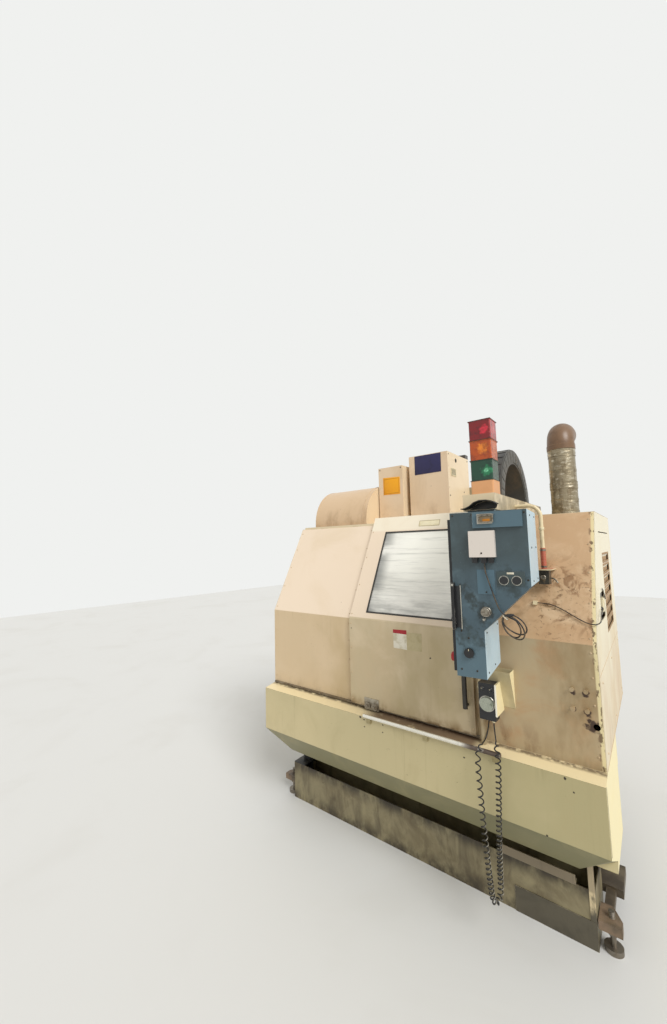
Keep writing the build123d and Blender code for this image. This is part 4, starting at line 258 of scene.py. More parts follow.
def stain(tint, most=0.5, *zones, cut=(0.46, 0.74), size=0.4, **more):
    """A broad patchy stain, with its size in metres."""
    return patch(tint, 1 / size, cut, most, *zones, rough=0.6, warp=0.6, **more)


def runs(tint, most=0.4, *zones):
    """Streaks that coolant and oil leave as they run down, in broken groups."""
    groups = ((3.1, 3.1, 0.9), (0.45, 0.7))
    return patch(tint, (42, 42, 1.6), (0.5, 0.8), most, *zones, rough=0.5, detail=5.0, warp=0.4, within=groups)


def specks(tint, most=0.8, size=0.02):
    """Ragged chips and spatter, thick in some places and absent in others."""
    return patch(tint, 1 / size, (0.66, 0.72), most, detail=7.0, warp=1.2, within=((2.6, 2.6, 2.6), (0.46, 0.64)))


def worn(tint, edge=0.004, most=0.6):
    """Paint rubbed away along the edges, in places."""
    return patch(tint, 9, (0.44, 0.6), most, edge=edge)


def finish(name):
    """A finish that was made before, by its name."""
    return bpy.data.materials[name]


DRESSED = set()  # the nodes that have their finish


def dressed(nodes, material):
    """Gives nodes of the part their finish."""
    for node in nodes.split():
        for holder in NODES[node].material_slots:
            holder.material = material
        DRESSED.add(node)


def coat(nodes, name, *look, **settings):
    """Makes a finish and gives it to nodes of the part."""
    dressed(nodes, surface(name, *look, **settings))


# Forms: each function below gives a closed mesh in its own axes, put in place by the matrix `at`


def placed(form, at, skin):
    """A form with its faces turned outwards, all in one finish, in its place."""
    bmesh.ops.recalc_face_normals(form, faces=form.faces[:])
    for face in form.faces:
        face.material_index = skin
    form.transform(at)
    return form


def softened(form, soft):
    """Rounds the edges of a form where its faces turn by more than half a radian."""
    edges = [e for e in form.edges if len(e.link_faces) == 2 and e.calc_face_angle(0) > 0.5]
    bmesh.ops.bevel(form, geom=edges, offset=soft, segments=2, profile=0.5, affect="EDGES", material=-1)


def block(low, high, soft=0.001, at=Matrix(), skin=0):
    """A block with softened edges between two corners."""
    low, high = Vector(low), Vector(high)
    form = bmesh.new()
    bmesh.ops.create_cube(form, size=1.0,
        matrix=Matrix.Translation((low + high) / 2) @ Matrix.Diagonal((*(high - low), 1)))
    softened(form, soft)
    return placed(form, at, skin)


def plate(outline, low, high, soft=0.0005, at=Matrix(), skin=0):
    """A flat piece with this outline in X and Y, between two heights."""
    form = bmesh.new()
    face = form.faces.new([form.verts.new((x, y, low)) for x, y in outline])
    raised = bmesh.ops.extrude_face_region(form, geom=[face])["geom"]
    bmesh.ops.translate(form, verts=[v for v in raised if isinstance(v, bmesh.types.BMVert)], vec=(0, 0, high - low))
    bmesh.ops.recalc_face_normals(form, faces=form.faces[:])
    softened(form, soft)
    return placed(form, at, skin)


def ring_frame(low, high, width, bottom, top, soft=0.0008, at=Matrix(), skin=0):
    """A rectangular frame: its outer corners in X and Y, its width and its two heights."""
    (x0, y0), (x1, y1) = low, high
    form = bmesh.new()
    loops = []
    for inset, z in ((0, bottom), (0, top), (width, top), (width, bottom)):
        corners = ((x0 + inset, y0 + inset), (x1 - inset, y0 + inset), (x1 - inset, y1 - inset),
            (x0 + inset, y1 - inset))
        loops.append([form.verts.new((x, y, z)) for x, y in corners])
    for here, after in zip(loops, loops[1:] + loops[:1]):
        for n in range(4):
            form.faces.new((here[n], here[n - 1], after[n - 1], after[n]))
    bmesh.ops.recalc_face_normals(form, faces=form.faces[:])
    softened(form, soft)
    return placed(form, at, skin)


def turned(profile, at=Matrix(), steps=24, skin=0):
    """A profile of radii and heights spun round Z."""
    form = bmesh.new()
    verts = [form.verts.new((radius, 0, height)) for radius, height in profile]
    edges = [form.edges.new(pair) for pair in zip(verts, verts[1:])]
    bmesh.ops.spin(
        form, geom=verts + edges, cent=(0, 0, 0), axis=(0, 0, 1), angle=math.tau, steps=steps, use_merge=True
    )
    bmesh.ops.remove_doubles(form, verts=form.verts[:], dist=1e-6)
    return placed(form, at, skin)


def swept(points, diameter, at=Matrix(), skin=0):
    """A round bar along a smooth line."""
    bar = spline_curve("bar", points, diameter)
    bpy.context.view_layer.update()
    mesh = bpy.data.meshes.new_from_object(bar.evaluated_get(bpy.context.evaluated_depsgraph_get()))
    form = bmesh.new()
    form.from_mesh(mesh)
    bpy.data.objects.remove(bar)
    bpy.data.meshes.remove(mesh)
    bmesh.ops.remove_doubles(form, verts=form.verts[:], dist=1e-6)
    return placed(form, at, skin)


def bent_sheet(line, width, thick, at=Matrix(), skin=0):
    """A sheet that follows a line of (x, y) points, of this thickness to its left, and this wide along Z."""
    form = bmesh.new()
    rows = []
    for n, here in enumerate(line):
        before, after = Vector(line[max(0, n - 1)]), Vector(line[min(len(line) - 1, n + 1)])
        way = (after - before).normalized()
        side = Vector((-way.y, way.x)) * thick
        corners = ((side * 0, 0), (side, 0), (side, width), (side * 0, width))
        rows.append([form.verts.new((*(Vector(here) + off), z)) for off, z in corners])
    for a, b in zip(rows, rows[1:]):
        for n in range(4):
            form.faces.new((a[n], a[n - 1], b[n - 1], b[n]))
    form.faces.new(rows[0])
    form.faces.new(rows[-1])
    return placed(form, at, skin)


def screw(x, y, r, at, z=0.0):
    """A round-headed socket screw of radius r standing on a surface."""
    outline = [(0, 0.25 * r), (0.42 * r, 0.25 * r), (0.46 * r, 0.62 * r), (0.72 * r, 0.6 * r), (0.95 * r, 0.35 * r),
        (r, 0), (0, -0.2 * r)]
    return turned(outline, at @ moved(x, y, z), steps=12)


def piece(name, body, slot, forms, *finishes):
    """Makes one finished piece from its forms, on the body that carries it."""
    whole = bmesh.new()
    data = bpy.data.meshes.new(name)
    for form in forms:
        form.to_mesh(data)
        form.free()
        whole.from_mesh(data)
    whole.to_mesh(data)
    whole.free()
    data.shade_smooth()
    data.set_sharp_from_angle(angle=math.radians(35))
    for each in finishes:
        data.materials.append(finish(each))
    made = bpy.data.objects.new(name, data)
    bpy.context.scene.collection.objects.link(made)
    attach(made, body)
    return made


# Cords


CURLY_ROUTE = [
    (0.560, -0.80093, 1.088), (0.560, -0.80093, 1.000), (0.554, -0.809, 0.925), (0.548, -0.838, 0.876),
    (0.543, -0.884, 0.863), (0.541, -0.926, 0.859), (0.540, -0.948, 0.838), (0.542, -0.962, 0.790),
    (0.549, -0.968, 0.690), (0.557, -0.971, 0.529), (0.566, -0.973, 0.415), (0.575, -0.974, 0.300),
    (0.580, -0.974, 0.240), (0.587, -0.962, 0.200), (0.600, -0.928, 0.200), (0.604, -0.916, 0.242),
    (0.605, -0.918, 0.310), (0.609, -0.924, 0.425), (0.617, -0.929, 0.560), (0.624, -0.933, 0.690),
    (0.630, -0.937, 0.790), (0.630, -0.937, 0.842), (0.622, -0.916, 0.877), (0.608, -0.880, 0.893),
    (0.603, -0.873, 0.925), (0.600, -0.870, 0.958), (0.600, -0.870, 0.990),
]
# Spacing of the curly cord's turns by the length along it: stretched at its top ends and close at the bottom
CURLY_PITCH = [
    (0.26, 0.044), (0.45, 0.037), (0.62, 0.031), (0.80, 0.023), (0.90, 0.019), (0.99, 0.023), (1.06, 0.023),
    (1.14, 0.018), (1.30, 0.022), (1.50, 0.027), (1.70, 0.032), (1.80, 0.037),
]

# The cable along the front, from its clip on the right panel to its gland in the side wall
SIDE_ROUTE = [
    (0.800, front_y(0.008, 1.551), 1.551), (0.845, front_y(0.008, 1.551), 1.551),
    (0.890, front_y(0.009, 1.538), 1.538), (0.934, front_y(0.007, 1.516), 1.516),
    (0.975, front_y(0.009, 1.493), 1.493), (1.012, front_y(0.008, 1.476), 1.476),
    (1.046, front_y(0.015, 1.472), 1.472), (1.064, -0.730, 1.478), (1.064, -0.690, 1.488), (1.060, -0.640, 1.499),
    (1.058, -0.590, 1.505), (1.059, -0.548, 1.508), (1.058, -0.506, 1.509), (1.045, -0.468, 1.507),
]

# The lead on the pendant's face, in the pendant's own axes, down to its tied hank
LEAD_Y = -0.190
LEAD_DOWN = [
    (0.031, -0.185, 1.772), (0.031, -0.185, 1.738), (0.044, -0.187, 1.695), (0.056, -0.189, 1.655),
    (0.068, LEAD_Y, 1.615), (0.078, LEAD_Y, 1.585), (0.092, LEAD_Y, 1.562), (0.116, -0.187, 1.546),
]
TIE = Vector((0.100, 0.0, 1.549))  # where the loops are tied
TURN_POINTS = 12  # points in each turn of the curly cord
# The hank's loops: their lean to the right, half length, half width, and distance from the case
LOOPS = [(30, 0.048, 0.030, -0.182), (52, 0.050, 0.031, -0.189), (38, 0.054, 0.032, -0.196)]


def spline_curve(name, points, diameter=0.0):
    """A smooth curve through a row of control points, as one open NURBS spline."""
    data = bpy.data.curves.new(name, "CURVE")
    data.dimensions = "3D"
    data.resolution_u = 12
    data.bevel_depth = diameter / 2
    data.bevel_resolution = 3
    data.use_fill_caps = True
    spline = data.splines.new("NURBS")
    spline.points.add(len(points) - 1)
    for point, at in zip(spline.points, points):
        point.co = (*at, 1.0)
    spline.order_u = 3
    spline.use_endpoint_u = True
    shown = bpy.data.objects.new(name, data)
    bpy.context.scene.collection.objects.link(shown)
    return shown


def followed(points):
    """The points of a route's own smooth line."""
    route = spline_curve("route", points)
    bpy.context.view_layer.update()
    line = bpy.data.meshes.new_from_object(route.evaluated_get(bpy.context.evaluated_depsgraph_get()))
    found = [v.co.copy() for v in line.vertices]
    bpy.data.objects.remove(route)
    bpy.data.meshes.remove(line)
    return found


def run_length(points):
    """The length of a line through a row of points."""
    return sum((b - a).length for a, b in zip(points, points[1:]))


def between(table, at):
    """A value read off a table of places and values."""
    if at <= table[0][0]:
        return table[0][1]
    for (a, low), (b, high) in zip(table, table[1:]):
        if at <= b:
            return low + (high - low) * (at - a) / (b - a)
    return table[-1][1]


def curled(line, radius, start, stop):
    """Points of a helix round a line, straight before one length along it and after another."""
    points, at, turn = [], 0.0, 0.0
    across = Vector((1, 0, 0))
    for here, ahead in zip(line, line[1:]):
        step = ahead - here
        way = step.normalized()
        across = (across - way * across.dot(way)).normalized()
        beside = way.cross(across)
        pieces = max(1, math.ceil(step.length / (between(CURLY_PITCH, at) / TURN_POINTS)))
        for n in range(pieces):
            spot = at + step.length * n / pieces
            grown = min(1.0, max(0.0, min(spot - start, stop - spot) / 0.035))  # to its full radius in 35 mm
            out = radius * grown
            points.append(here + step * n / pieces + out * (across * math.cos(turn) + beside * math.sin(turn)))
            if grown > 0:
                turn += math.tau * step.length / pieces / between(CURLY_PITCH, spot)
        at += step.length
    return points + [line[-1]]


def hank_loops():
    """Points of the tied loops, each round a long oval that hangs from the tie."""
    points = []
    for n in range(6, 93):  # steps of 12 degrees, over a little less than three turns
        turn = math.radians(12 * n)
        place = turn / math.tau
        k = min(int(place), 2)
        after = min(k + 1, 2)
        mix = min(1.0, max(0.0, (place - k - 0.75) / 0.25)) if k < 2 else 0.0
        lean, long, wide, y = [a + (b - a) * mix for a, b in zip(LOOPS[k], LOOPS[after])]
        lean = math.radians(lean)
        down, right = Vector((math.sin(lean), 0, -math.cos(lean))), Vector((math.cos(lean), 0, math.sin(lean)))
        points.append(TIE + down * long * (1 - math.cos(turn)) + right * wide * math.sin(turn) + Vector((0, y, 0)))
    return points


def settings():
    """The sizes and colours in the sidebar."""
    return bpy.context.scene.machine_looks


class MachineLooks(bpy.types.PropertyGroup):
    """Sizes and colours that a user would change."""

    panel_colour: FloatVectorProperty(name="Panels", description="Paint of the front panels and the door",
        subtype="COLOR", default=linear("#E9D6BF")[:3])
    apron_colour: FloatVectorProperty(name="Chip pan", description="Paint of the pan round the machine's foot",
        subtype="COLOR", default=linear("#C2B58C")[:3])
    side_colour: FloatVectorProperty(name="Side walls", description="Paint of the side and rear walls",
        subtype="COLOR", default=linear("#E6DDC1")[:3])
    cover_colour: FloatVectorProperty(name="Top covers", description="Paint of the covers on the roof",
        subtype="COLOR", default=linear("#E3CBAD")[:3])
    pendant_colour: FloatVectorProperty(name="Pendant", description="Paint of the pendant's case", subtype="COLOR",
        default=linear("#455963")[:3])
    floor_colour: FloatVectorProperty(name="Floor", description="Colour of the studio floor", subtype="COLOR",
        default=linear("#DADAD8")[:3])
    sky_strength: FloatProperty(name="Soft light", description="Strength of the even light from all round",
        default=0.70, min=0.0, max=2.0)
    lamp_strength: FloatProperty(name="Lamp", description="Strength of the soft lamp above", default=2.2, min=0.0,
        max=10.0)
    wire: FloatProperty(name="Curly cord wire", description="Thickness of the curly cord's wire", default=0.0065,
        min=0.003, max=0.012, subtype="DISTANCE", unit="LENGTH")
    curl: FloatProperty(name="Curl radius", description="Radius of the curly cord's turns, to the wire's middle",
        default=0.0112, min=0.005, max=0.02, subtype="DISTANCE", unit="LENGTH")
    side_wire: FloatProperty(name="Side cable", description="Thickness of the cable along the front", default=0.005,
        min=0.003, max=0.012, subtype="DISTANCE", unit="LENGTH")
    lead_wire: FloatProperty(name="Pendant lead", description="Thickness of the lead on the pendant", default=0.006,
        min=0.003, max=0.012, subtype="DISTANCE", unit="LENGTH")


class MACHINE_OT_stage(bpy.types.Operator):
    """The pale floor, the soft light and the camera"""

    bl_idname = "machine.stage"
    bl_label = "Stage"

    def execute(self, context):
        looks = settings()
        scene = context.scene
        scene.view_settings.view_transform = "Standard"
        shape = bmesh.new()
        bmesh.ops.create_grid(shape, x_segments=1, y_segments=1, size=14)
        data = bpy.data.meshes.new("studio_floor")
        shape.to_mesh(data)
        shape.free()
        floor = bpy.data.objects.new("studio_floor", data)
        scene.collection.objects.link(floor)
        # Sealed concrete: an almost even pale ground with slow clouds
        data.materials.append(surface("sealed_concrete_floor", (*looks.floor_colour, 1), 0.6,
            [stain("#D2D1CD", 0.5, size=1.2)]))
        world = bpy.data.worlds.new("studio")
        scene.world = world
        world.use_nodes = True
        tree = world.node_tree
        tree.nodes.clear()
        rays = add(tree, "ShaderNodeLightPath")
        # What is looked at or mirrored is a plain pale room, whose brightness is apart from the light it gives
        seen = joined(tree, "MAXIMUM", rays.outputs["Is Camera Ray"], rays.outputs["Is Glossy Ray"])
        seen = joined(tree, "MAXIMUM", seen, rays.outputs["Is Transmission Ray"])
        sky = add(tree, "ShaderNodeBackground", {"Color": linear("#F8F6F0"), "Strength": looks.sky_strength})
        back = add(tree, "ShaderNodeBackground", {"Color": linear("#F0F1EF"), "Strength": 1.0})
        both = add(tree, "ShaderNodeMixShader", {0: seen, 1: sky.outputs[0], 2: back.outputs[0]})
        add(tree, "ShaderNodeOutputWorld", {"Surface": both.outputs[0]})
        lamp = bpy.data.lights.new("soft_lamp", "SUN")
        lamp.energy = looks.lamp_strength
        lamp.angle = math.radians(30)
        shone = bpy.data.objects.new("soft_lamp", lamp)
        shone.rotation_mode = "QUATERNION"
        from_above = Vector((0.80, -0.38, 0.78))
        shone.rotation_quaternion = from_above.to_track_quat("Z", "Y")
        scene.collection.objects.link(shone)
        # The photograph's camera, fitted to the machine's straight edges
        camera = bpy.data.objects.new("camera", bpy.data.cameras.new("camera"))
        scene.collection.objects.link(camera)
        camera.data.lens = 13.975
        camera.data.sensor_width = 36.0
        camera.data.shift_x = 0.00375
        camera.data.clip_start = 0.05
        camera.data.clip_end = 60.0
        right = Vector((0.77823822, 0.6275686, -0.02242598))
        up = Vector((0.0746573, -0.05700467, 0.9955786))
        ahead = Vector((-0.62351549, 0.77647158, 0.09121579))
        stand = moved(1.27285, -2.96999, 1.85)
        camera.matrix_world = stand @ Matrix((right, up, -ahead)).transposed().to_4x4()
        scene.camera = camera
        return {"FINISHED"}


class MACHINE_OT_panel_finishes(bpy.types.Operator):
    """The sprayed enamel of the panels, door, walls, roof and covers, with its stains and wear, and painted light and
    shade on some faces
    """

    bl_idname = "machine.panel_finishes"
    bl_label = "Panel finishes"

    def execute(self, context):
        looks = settings()
        panel = (*looks.panel_colour, 1)
        sheet = (PEEL, WAVE)
        upright, door_upright = ("Z", 1.388, 1.382), ("Z", 1.405, 1.398)  # all that is under the fold
        chips = specks("#5F4A34", 0.75, 0.016)
        # Cream where it leans back, tan and greasy where it stands upright, with a greyer foot
        coat("front_panel_left", "sprayed_enamel_left_panel", panel, 0.38, [
            tone("#D2BA95", 0.92, upright), stain("#DCC7A8", 0.5, size=0.5),
            patch("#BDA67C", (1.6, 1.6, 1.1), (0.4, 0.62), 0.75, upright, ("X", -0.95, -0.35)),
            patch("#9C8460", (6, 6, 4), (0.42, 0.7), 0.6, ("Z", 0.96, 0.85)),
            runs("#A88E66", 0.35, upright), chips, worn("#8A6C4C", 0.003, 0.6)], sheet)
        # The palest band at its top, a grimy foot, grease by the grip and rusty spots
        coat("front_door", "sprayed_enamel_door", panel, 0.38, [
            tone("#F2EBD6", 0.7, ("Z", 1.955, 1.975)), tone("#C0AF8C", 0.94, door_upright),
            stain("#E3D2B6", 0.5, size=0.35),
            patch("#CDB490", (2.2, 2.2, 1.4), (0.42, 0.66), 0.6, door_upright, ("X", 0.15, -0.2)),
            patch("#A9986F", (3, 3, 1.7), (0.44, 0.7), 0.6, door_upright),
            patch("#8C7148", (11, 11, 5), (0.44, 0.7), 0.75, ("Z", 0.93, 0.868)),
            patch("#6B5438", 20, (0.36, 0.6), 0.75, ("Z", 0.880, 0.864)),
            patch("#7A6648", (30, 30, 4), (0.42, 0.62), 0.55, ("X", 0.44, 0.485), ("Z", 1.5, 1.3)),
            runs("#8F7A54", 0.3, door_upright), specks("#4A3A2A", 0.8, 0.013), worn("#7E6446", 0.003, 0.7),
            tone("#3A2E24", spots=[(0.252, -0.82, 1.219, 0.006), (-0.295, -0.82, 1.33, 0.005),
                    (-0.290, -0.80, 1.42, 0.004)])], sheet)
        # The dirtiest panel: brown smears under the pendant, a rusty hole, and a painted highlight along its right
        # edge
        coat("front_panel_right", "sprayed_enamel_right_panel", "#C6A47E", 0.42, [
            tone("#B3A07E", 0.95, upright), stain("#B48A60", 0.65, size=0.20),
            stain("#DCC09C", 0.65, ("Z", 1.38, 1.50), size=0.13),
            patch("#E3CDAC", 30, (0.55, 0.66), 0.6, ("Z", 1.55, 1.66), ("X", 0.70, 0.82), detail=8.0, warp=0.8,
                within=((5, 5, 5), (0.46, 0.6))),
            patch("#86603C", 15, (0.49, 0.64), 0.75, ("X", 0.68, 0.86), ("Z", 1.38, 1.48), ("Z", 1.84, 1.68),
                detail=9.0, warp=0.9), patch("#6A4E30", 42, (0.57, 0.66), 0.8, ("X", 0.72, 0.85), ("Z", 1.36, 1.44),
                ("Z", 1.78, 1.68), detail=6.0, warp=1.0),
            patch("#8F7750", (7, 7, 3), (0.40, 0.66), 0.65, upright, ("X", 0.70, 0.95)),
            patch("#7C5E3E", (16, 16, 7), (0.46, 0.66), 0.7, ("Z", 1.02, 0.86), ("X", 0.98, 0.62)),
            runs("#7E6240", 0.55, upright), specks("#4E3A26", 0.85, 0.012), worn("#6E5236", 0.004, 0.7),
            tone("#3E2A1C", spots=[(1.012, -0.79, 1.024, 0.034), (0.940, -0.79, 1.165, 0.016),
                    (0.992, -0.79, 1.165, 0.017), (0.938, -0.79, 1.088, 0.013), (0.992, -0.79, 1.082, 0.020),
                    (0.995, -0.79, 1.05, 0.012), (0.862, -0.66, 1.60, 0.013)]),
            patch("#6E5636", 11, (0.40, 0.72), 0.6, ("X", 0.77, 0.70), ("X", 0.56, 0.66), ("Z", 1.34, 1.42),
                # The pale strip at the right edge is a painted highlight
                ("Z", 1.74, 1.60), detail=9.0, warp=0.6), tone("#E9D9A8", 0.9, ("X", 1.030, 1.036)),
            patch("#5A4028", (60, 60, 22), (0.54, 0.62), 0.85, ("X", 1.018, 1.034))], sheet)
        # Pale cream that yellows downwards, with brown frames round the louvres
        coat("side_wall_left side_wall_right rear_wall", "sprayed_enamel_walls", (*looks.side_colour, 1), 0.36, [
            stain("#D9C9A4", 0.6, size=0.5), patch("#C6A981", (3, 3, 1.2), (0.25, 0.6), 0.75, ("Z", 1.6, 1.0)),
            runs("#A48A60", 0.5), patch("#A98A66", 9, (0.1, 0.4), 0.85, ("X", 1.044, 1.047), ("Y", -0.235, -0.225),
                ("Y", 0.186, 0.176), ("Z", 1.345, 1.352), ("Z", 1.788, 1.780)),
            runs("#7E6848", 0.6, ("Z", 1.35, 1.1)), specks("#6A5438", 0.8, 0.014), worn("#8A7250", 0.003, 0.7)],
            sheet)
        # Cream, with patchy painted shade low on the pocket's front, a painted highlight on the pocket's right side,
        # and a white front edge
        coat("electrical_cabinet cabinet_door document_pocket handwheel_bracket", "sprayed_enamel_cabinet", "#D8CBA6",
            0.4, [
                # Patchy painted shade on the low front faces
                patch("#A3956E", (5, 5, 3), (0.3, 0.6), 0.75, ("Y", -0.7, -0.85), ("Z", 1.3, 1.2)),
                stain("#C3B38A", 0.5, size=0.4), runs("#94805A", 0.4), specks("#5F4C34", 0.8, 0.015),
                # Painted highlight on the faces turned right, at the front
                worn("#76614A", 0.003, 0.7), tone("#F1E3B4", 0.9, ("Y", -0.7, -0.8), facing=("X", 0.6, 0.9)),
                tone("#F4F0E2", 0.9, ("Y", -0.9035, -0.9045))], sheet)
        # Dusty from above, and dark on the arm's right side
        coat("roof_panel pendant_arm", "sprayed_enamel_roof", "#E4D2B0", 0.4, [
            stain("#CDB990", 0.6, size=0.4), stain("#A8946C", 0.55, size=0.15, facing=("Z", 0.6, 0.9)),
            patch("#86795C", 7, (0.3, 0.62), 0.75, facing=("X", 0.6, 0.9)), runs("#97805A", 0.35),
            specks("#5F4C34", 0.8, 0.014), worn("#8A7048", 0.003, 0.7)], sheet)
        # Yellow-green enamel: brown scum on the ledge, painted shade underneath, a painted highlight on the faces
        # turned right, with drilled spots
        coat("chip_pan", "stained_enamel_pan", (*looks.apron_colour, 1), 0.42, [
            patch("#CDBE94", (1.1, 1.1, 1.4), (0.3, 0.6), 0.85, ("X", -0.1, -0.7)),
            patch("#A9A076", (1.6, 1.6, 1.4), (0.3, 0.6), 0.75, ("X", 0.1, 0.8), ("Y", -0.86, -0.88)),
            # Painted shade on the faces turned down
            tone("#74724F", 0.85, facing=("Z", -0.2, -0.5)), stain("#B3A67C", 0.5, size=0.3), runs("#8C8058", 0.45),
            # Painted highlight on the faces turned right
            runs("#6A5E3E", 0.5, ("Z", 0.72, 0.82)), tone("#F0E3B2", 0.9, facing=("X", 0.6, 0.95)),
            tone("#EBD9AE", 0.95, facing=("Z", 0.5, 0.9)),
            patch("#5E4232", 9, (0.22, 0.44), 0.85, ("X", -0.22, -0.08), ("X", 0.53, 0.47), ("Y", -0.90, -0.875),
                ("Y", -0.785, -0.795), facing=("Z", 0.5, 0.9)),
            patch("#4A3626", 24, (0.3, 0.55), 0.8, ("Y", -0.830, -0.805), ("Y", -0.785, -0.795),
                facing=("Z", 0.5, 0.9)), tone("#2E241A",
                spots=in_plane(-0.888, (-0.1945, 0.817, 0.009), (-0.166, 0.809, 0.006), (-0.165, 0.767, 0.006),
                    (-0.035, 0.810, 0.006), (-0.037, 0.767, 0.006), (0.446, 0.769, 0.006), (0.899, 0.815, 0.008),
                    (0.930, 0.766, 0.005), (0.810, 0.543, 0.006))), specks("#4F4530", 0.85, 0.014),
            worn("#6E5E40", 0.004, 0.75)], sheet)
        # Warm cream with darker feet, a painted highlight on its right side and the dark line of a lid
        coat("motor_cover relay_box magazine_cover", "sprayed_enamel_covers", (*looks.cover_colour, 1), 0.34, [
            tone("#D0B28E", 0.8, ("X", -0.45, -0.452)), stain("#C7AA84", 0.5, size=0.3),
            patch("#9A7A56", (9, 9, 5), (0.46, 0.7), 0.5, ("Z", 2.25, 2.05)), runs("#A98C66", 0.35),
            # Painted highlight on the faces turned right
            tone("#F0DEBC", 0.6, facing=("X", 0.7, 0.95)), tone("#2B2A28", 0.95, ("Z", 2.5652, 2.5658)),
            specks("#5A4632", 0.8, 0.013), worn("#7A6044", 0.003, 0.7)], sheet)
        # Brown primer under worn cream flecks
        coat("duct_elbow", "sprayed_enamel_elbow", "#775A40", 0.36, [
            stain("#5C4430", 0.6, size=0.1), specks("#C9B593", 0.5, 0.012), worn("#D9B48A", 0.006, 0.4)], [PEEL])
        # Cream pipes, with the red hose and the black end fittings in bands
        coat("panel_pipes", "sprayed_enamel_pipes", "#E2D2AC", 0.4, [
            tone("#B4523C", 0.92, ("Z", 1.830, 1.826), ("Z", 1.721, 1.7225), ("X", 0.80, 0.81)),
            tone("#1C1B1A", 0.96, ("Z", 1.7165, 1.7155), ("Z", 1.640, 1.644), ("X", 0.80, 0.81)),
            tone("#3A3834", 0.95, ("X", 0.534, 0.540), ("Z", 1.155, 1.14)),
            tone("#A89878", 0.8, ("X", 0.70, 0.60), ("Z", 1.13, 1.05)),
            stain("#A98E66", 0.6, size=0.06), specks("#5F4A34", 0.8, 0.01), worn("#8A7454", 0.002, 0.6)], [PEEL])
        return {"FINISHED"}


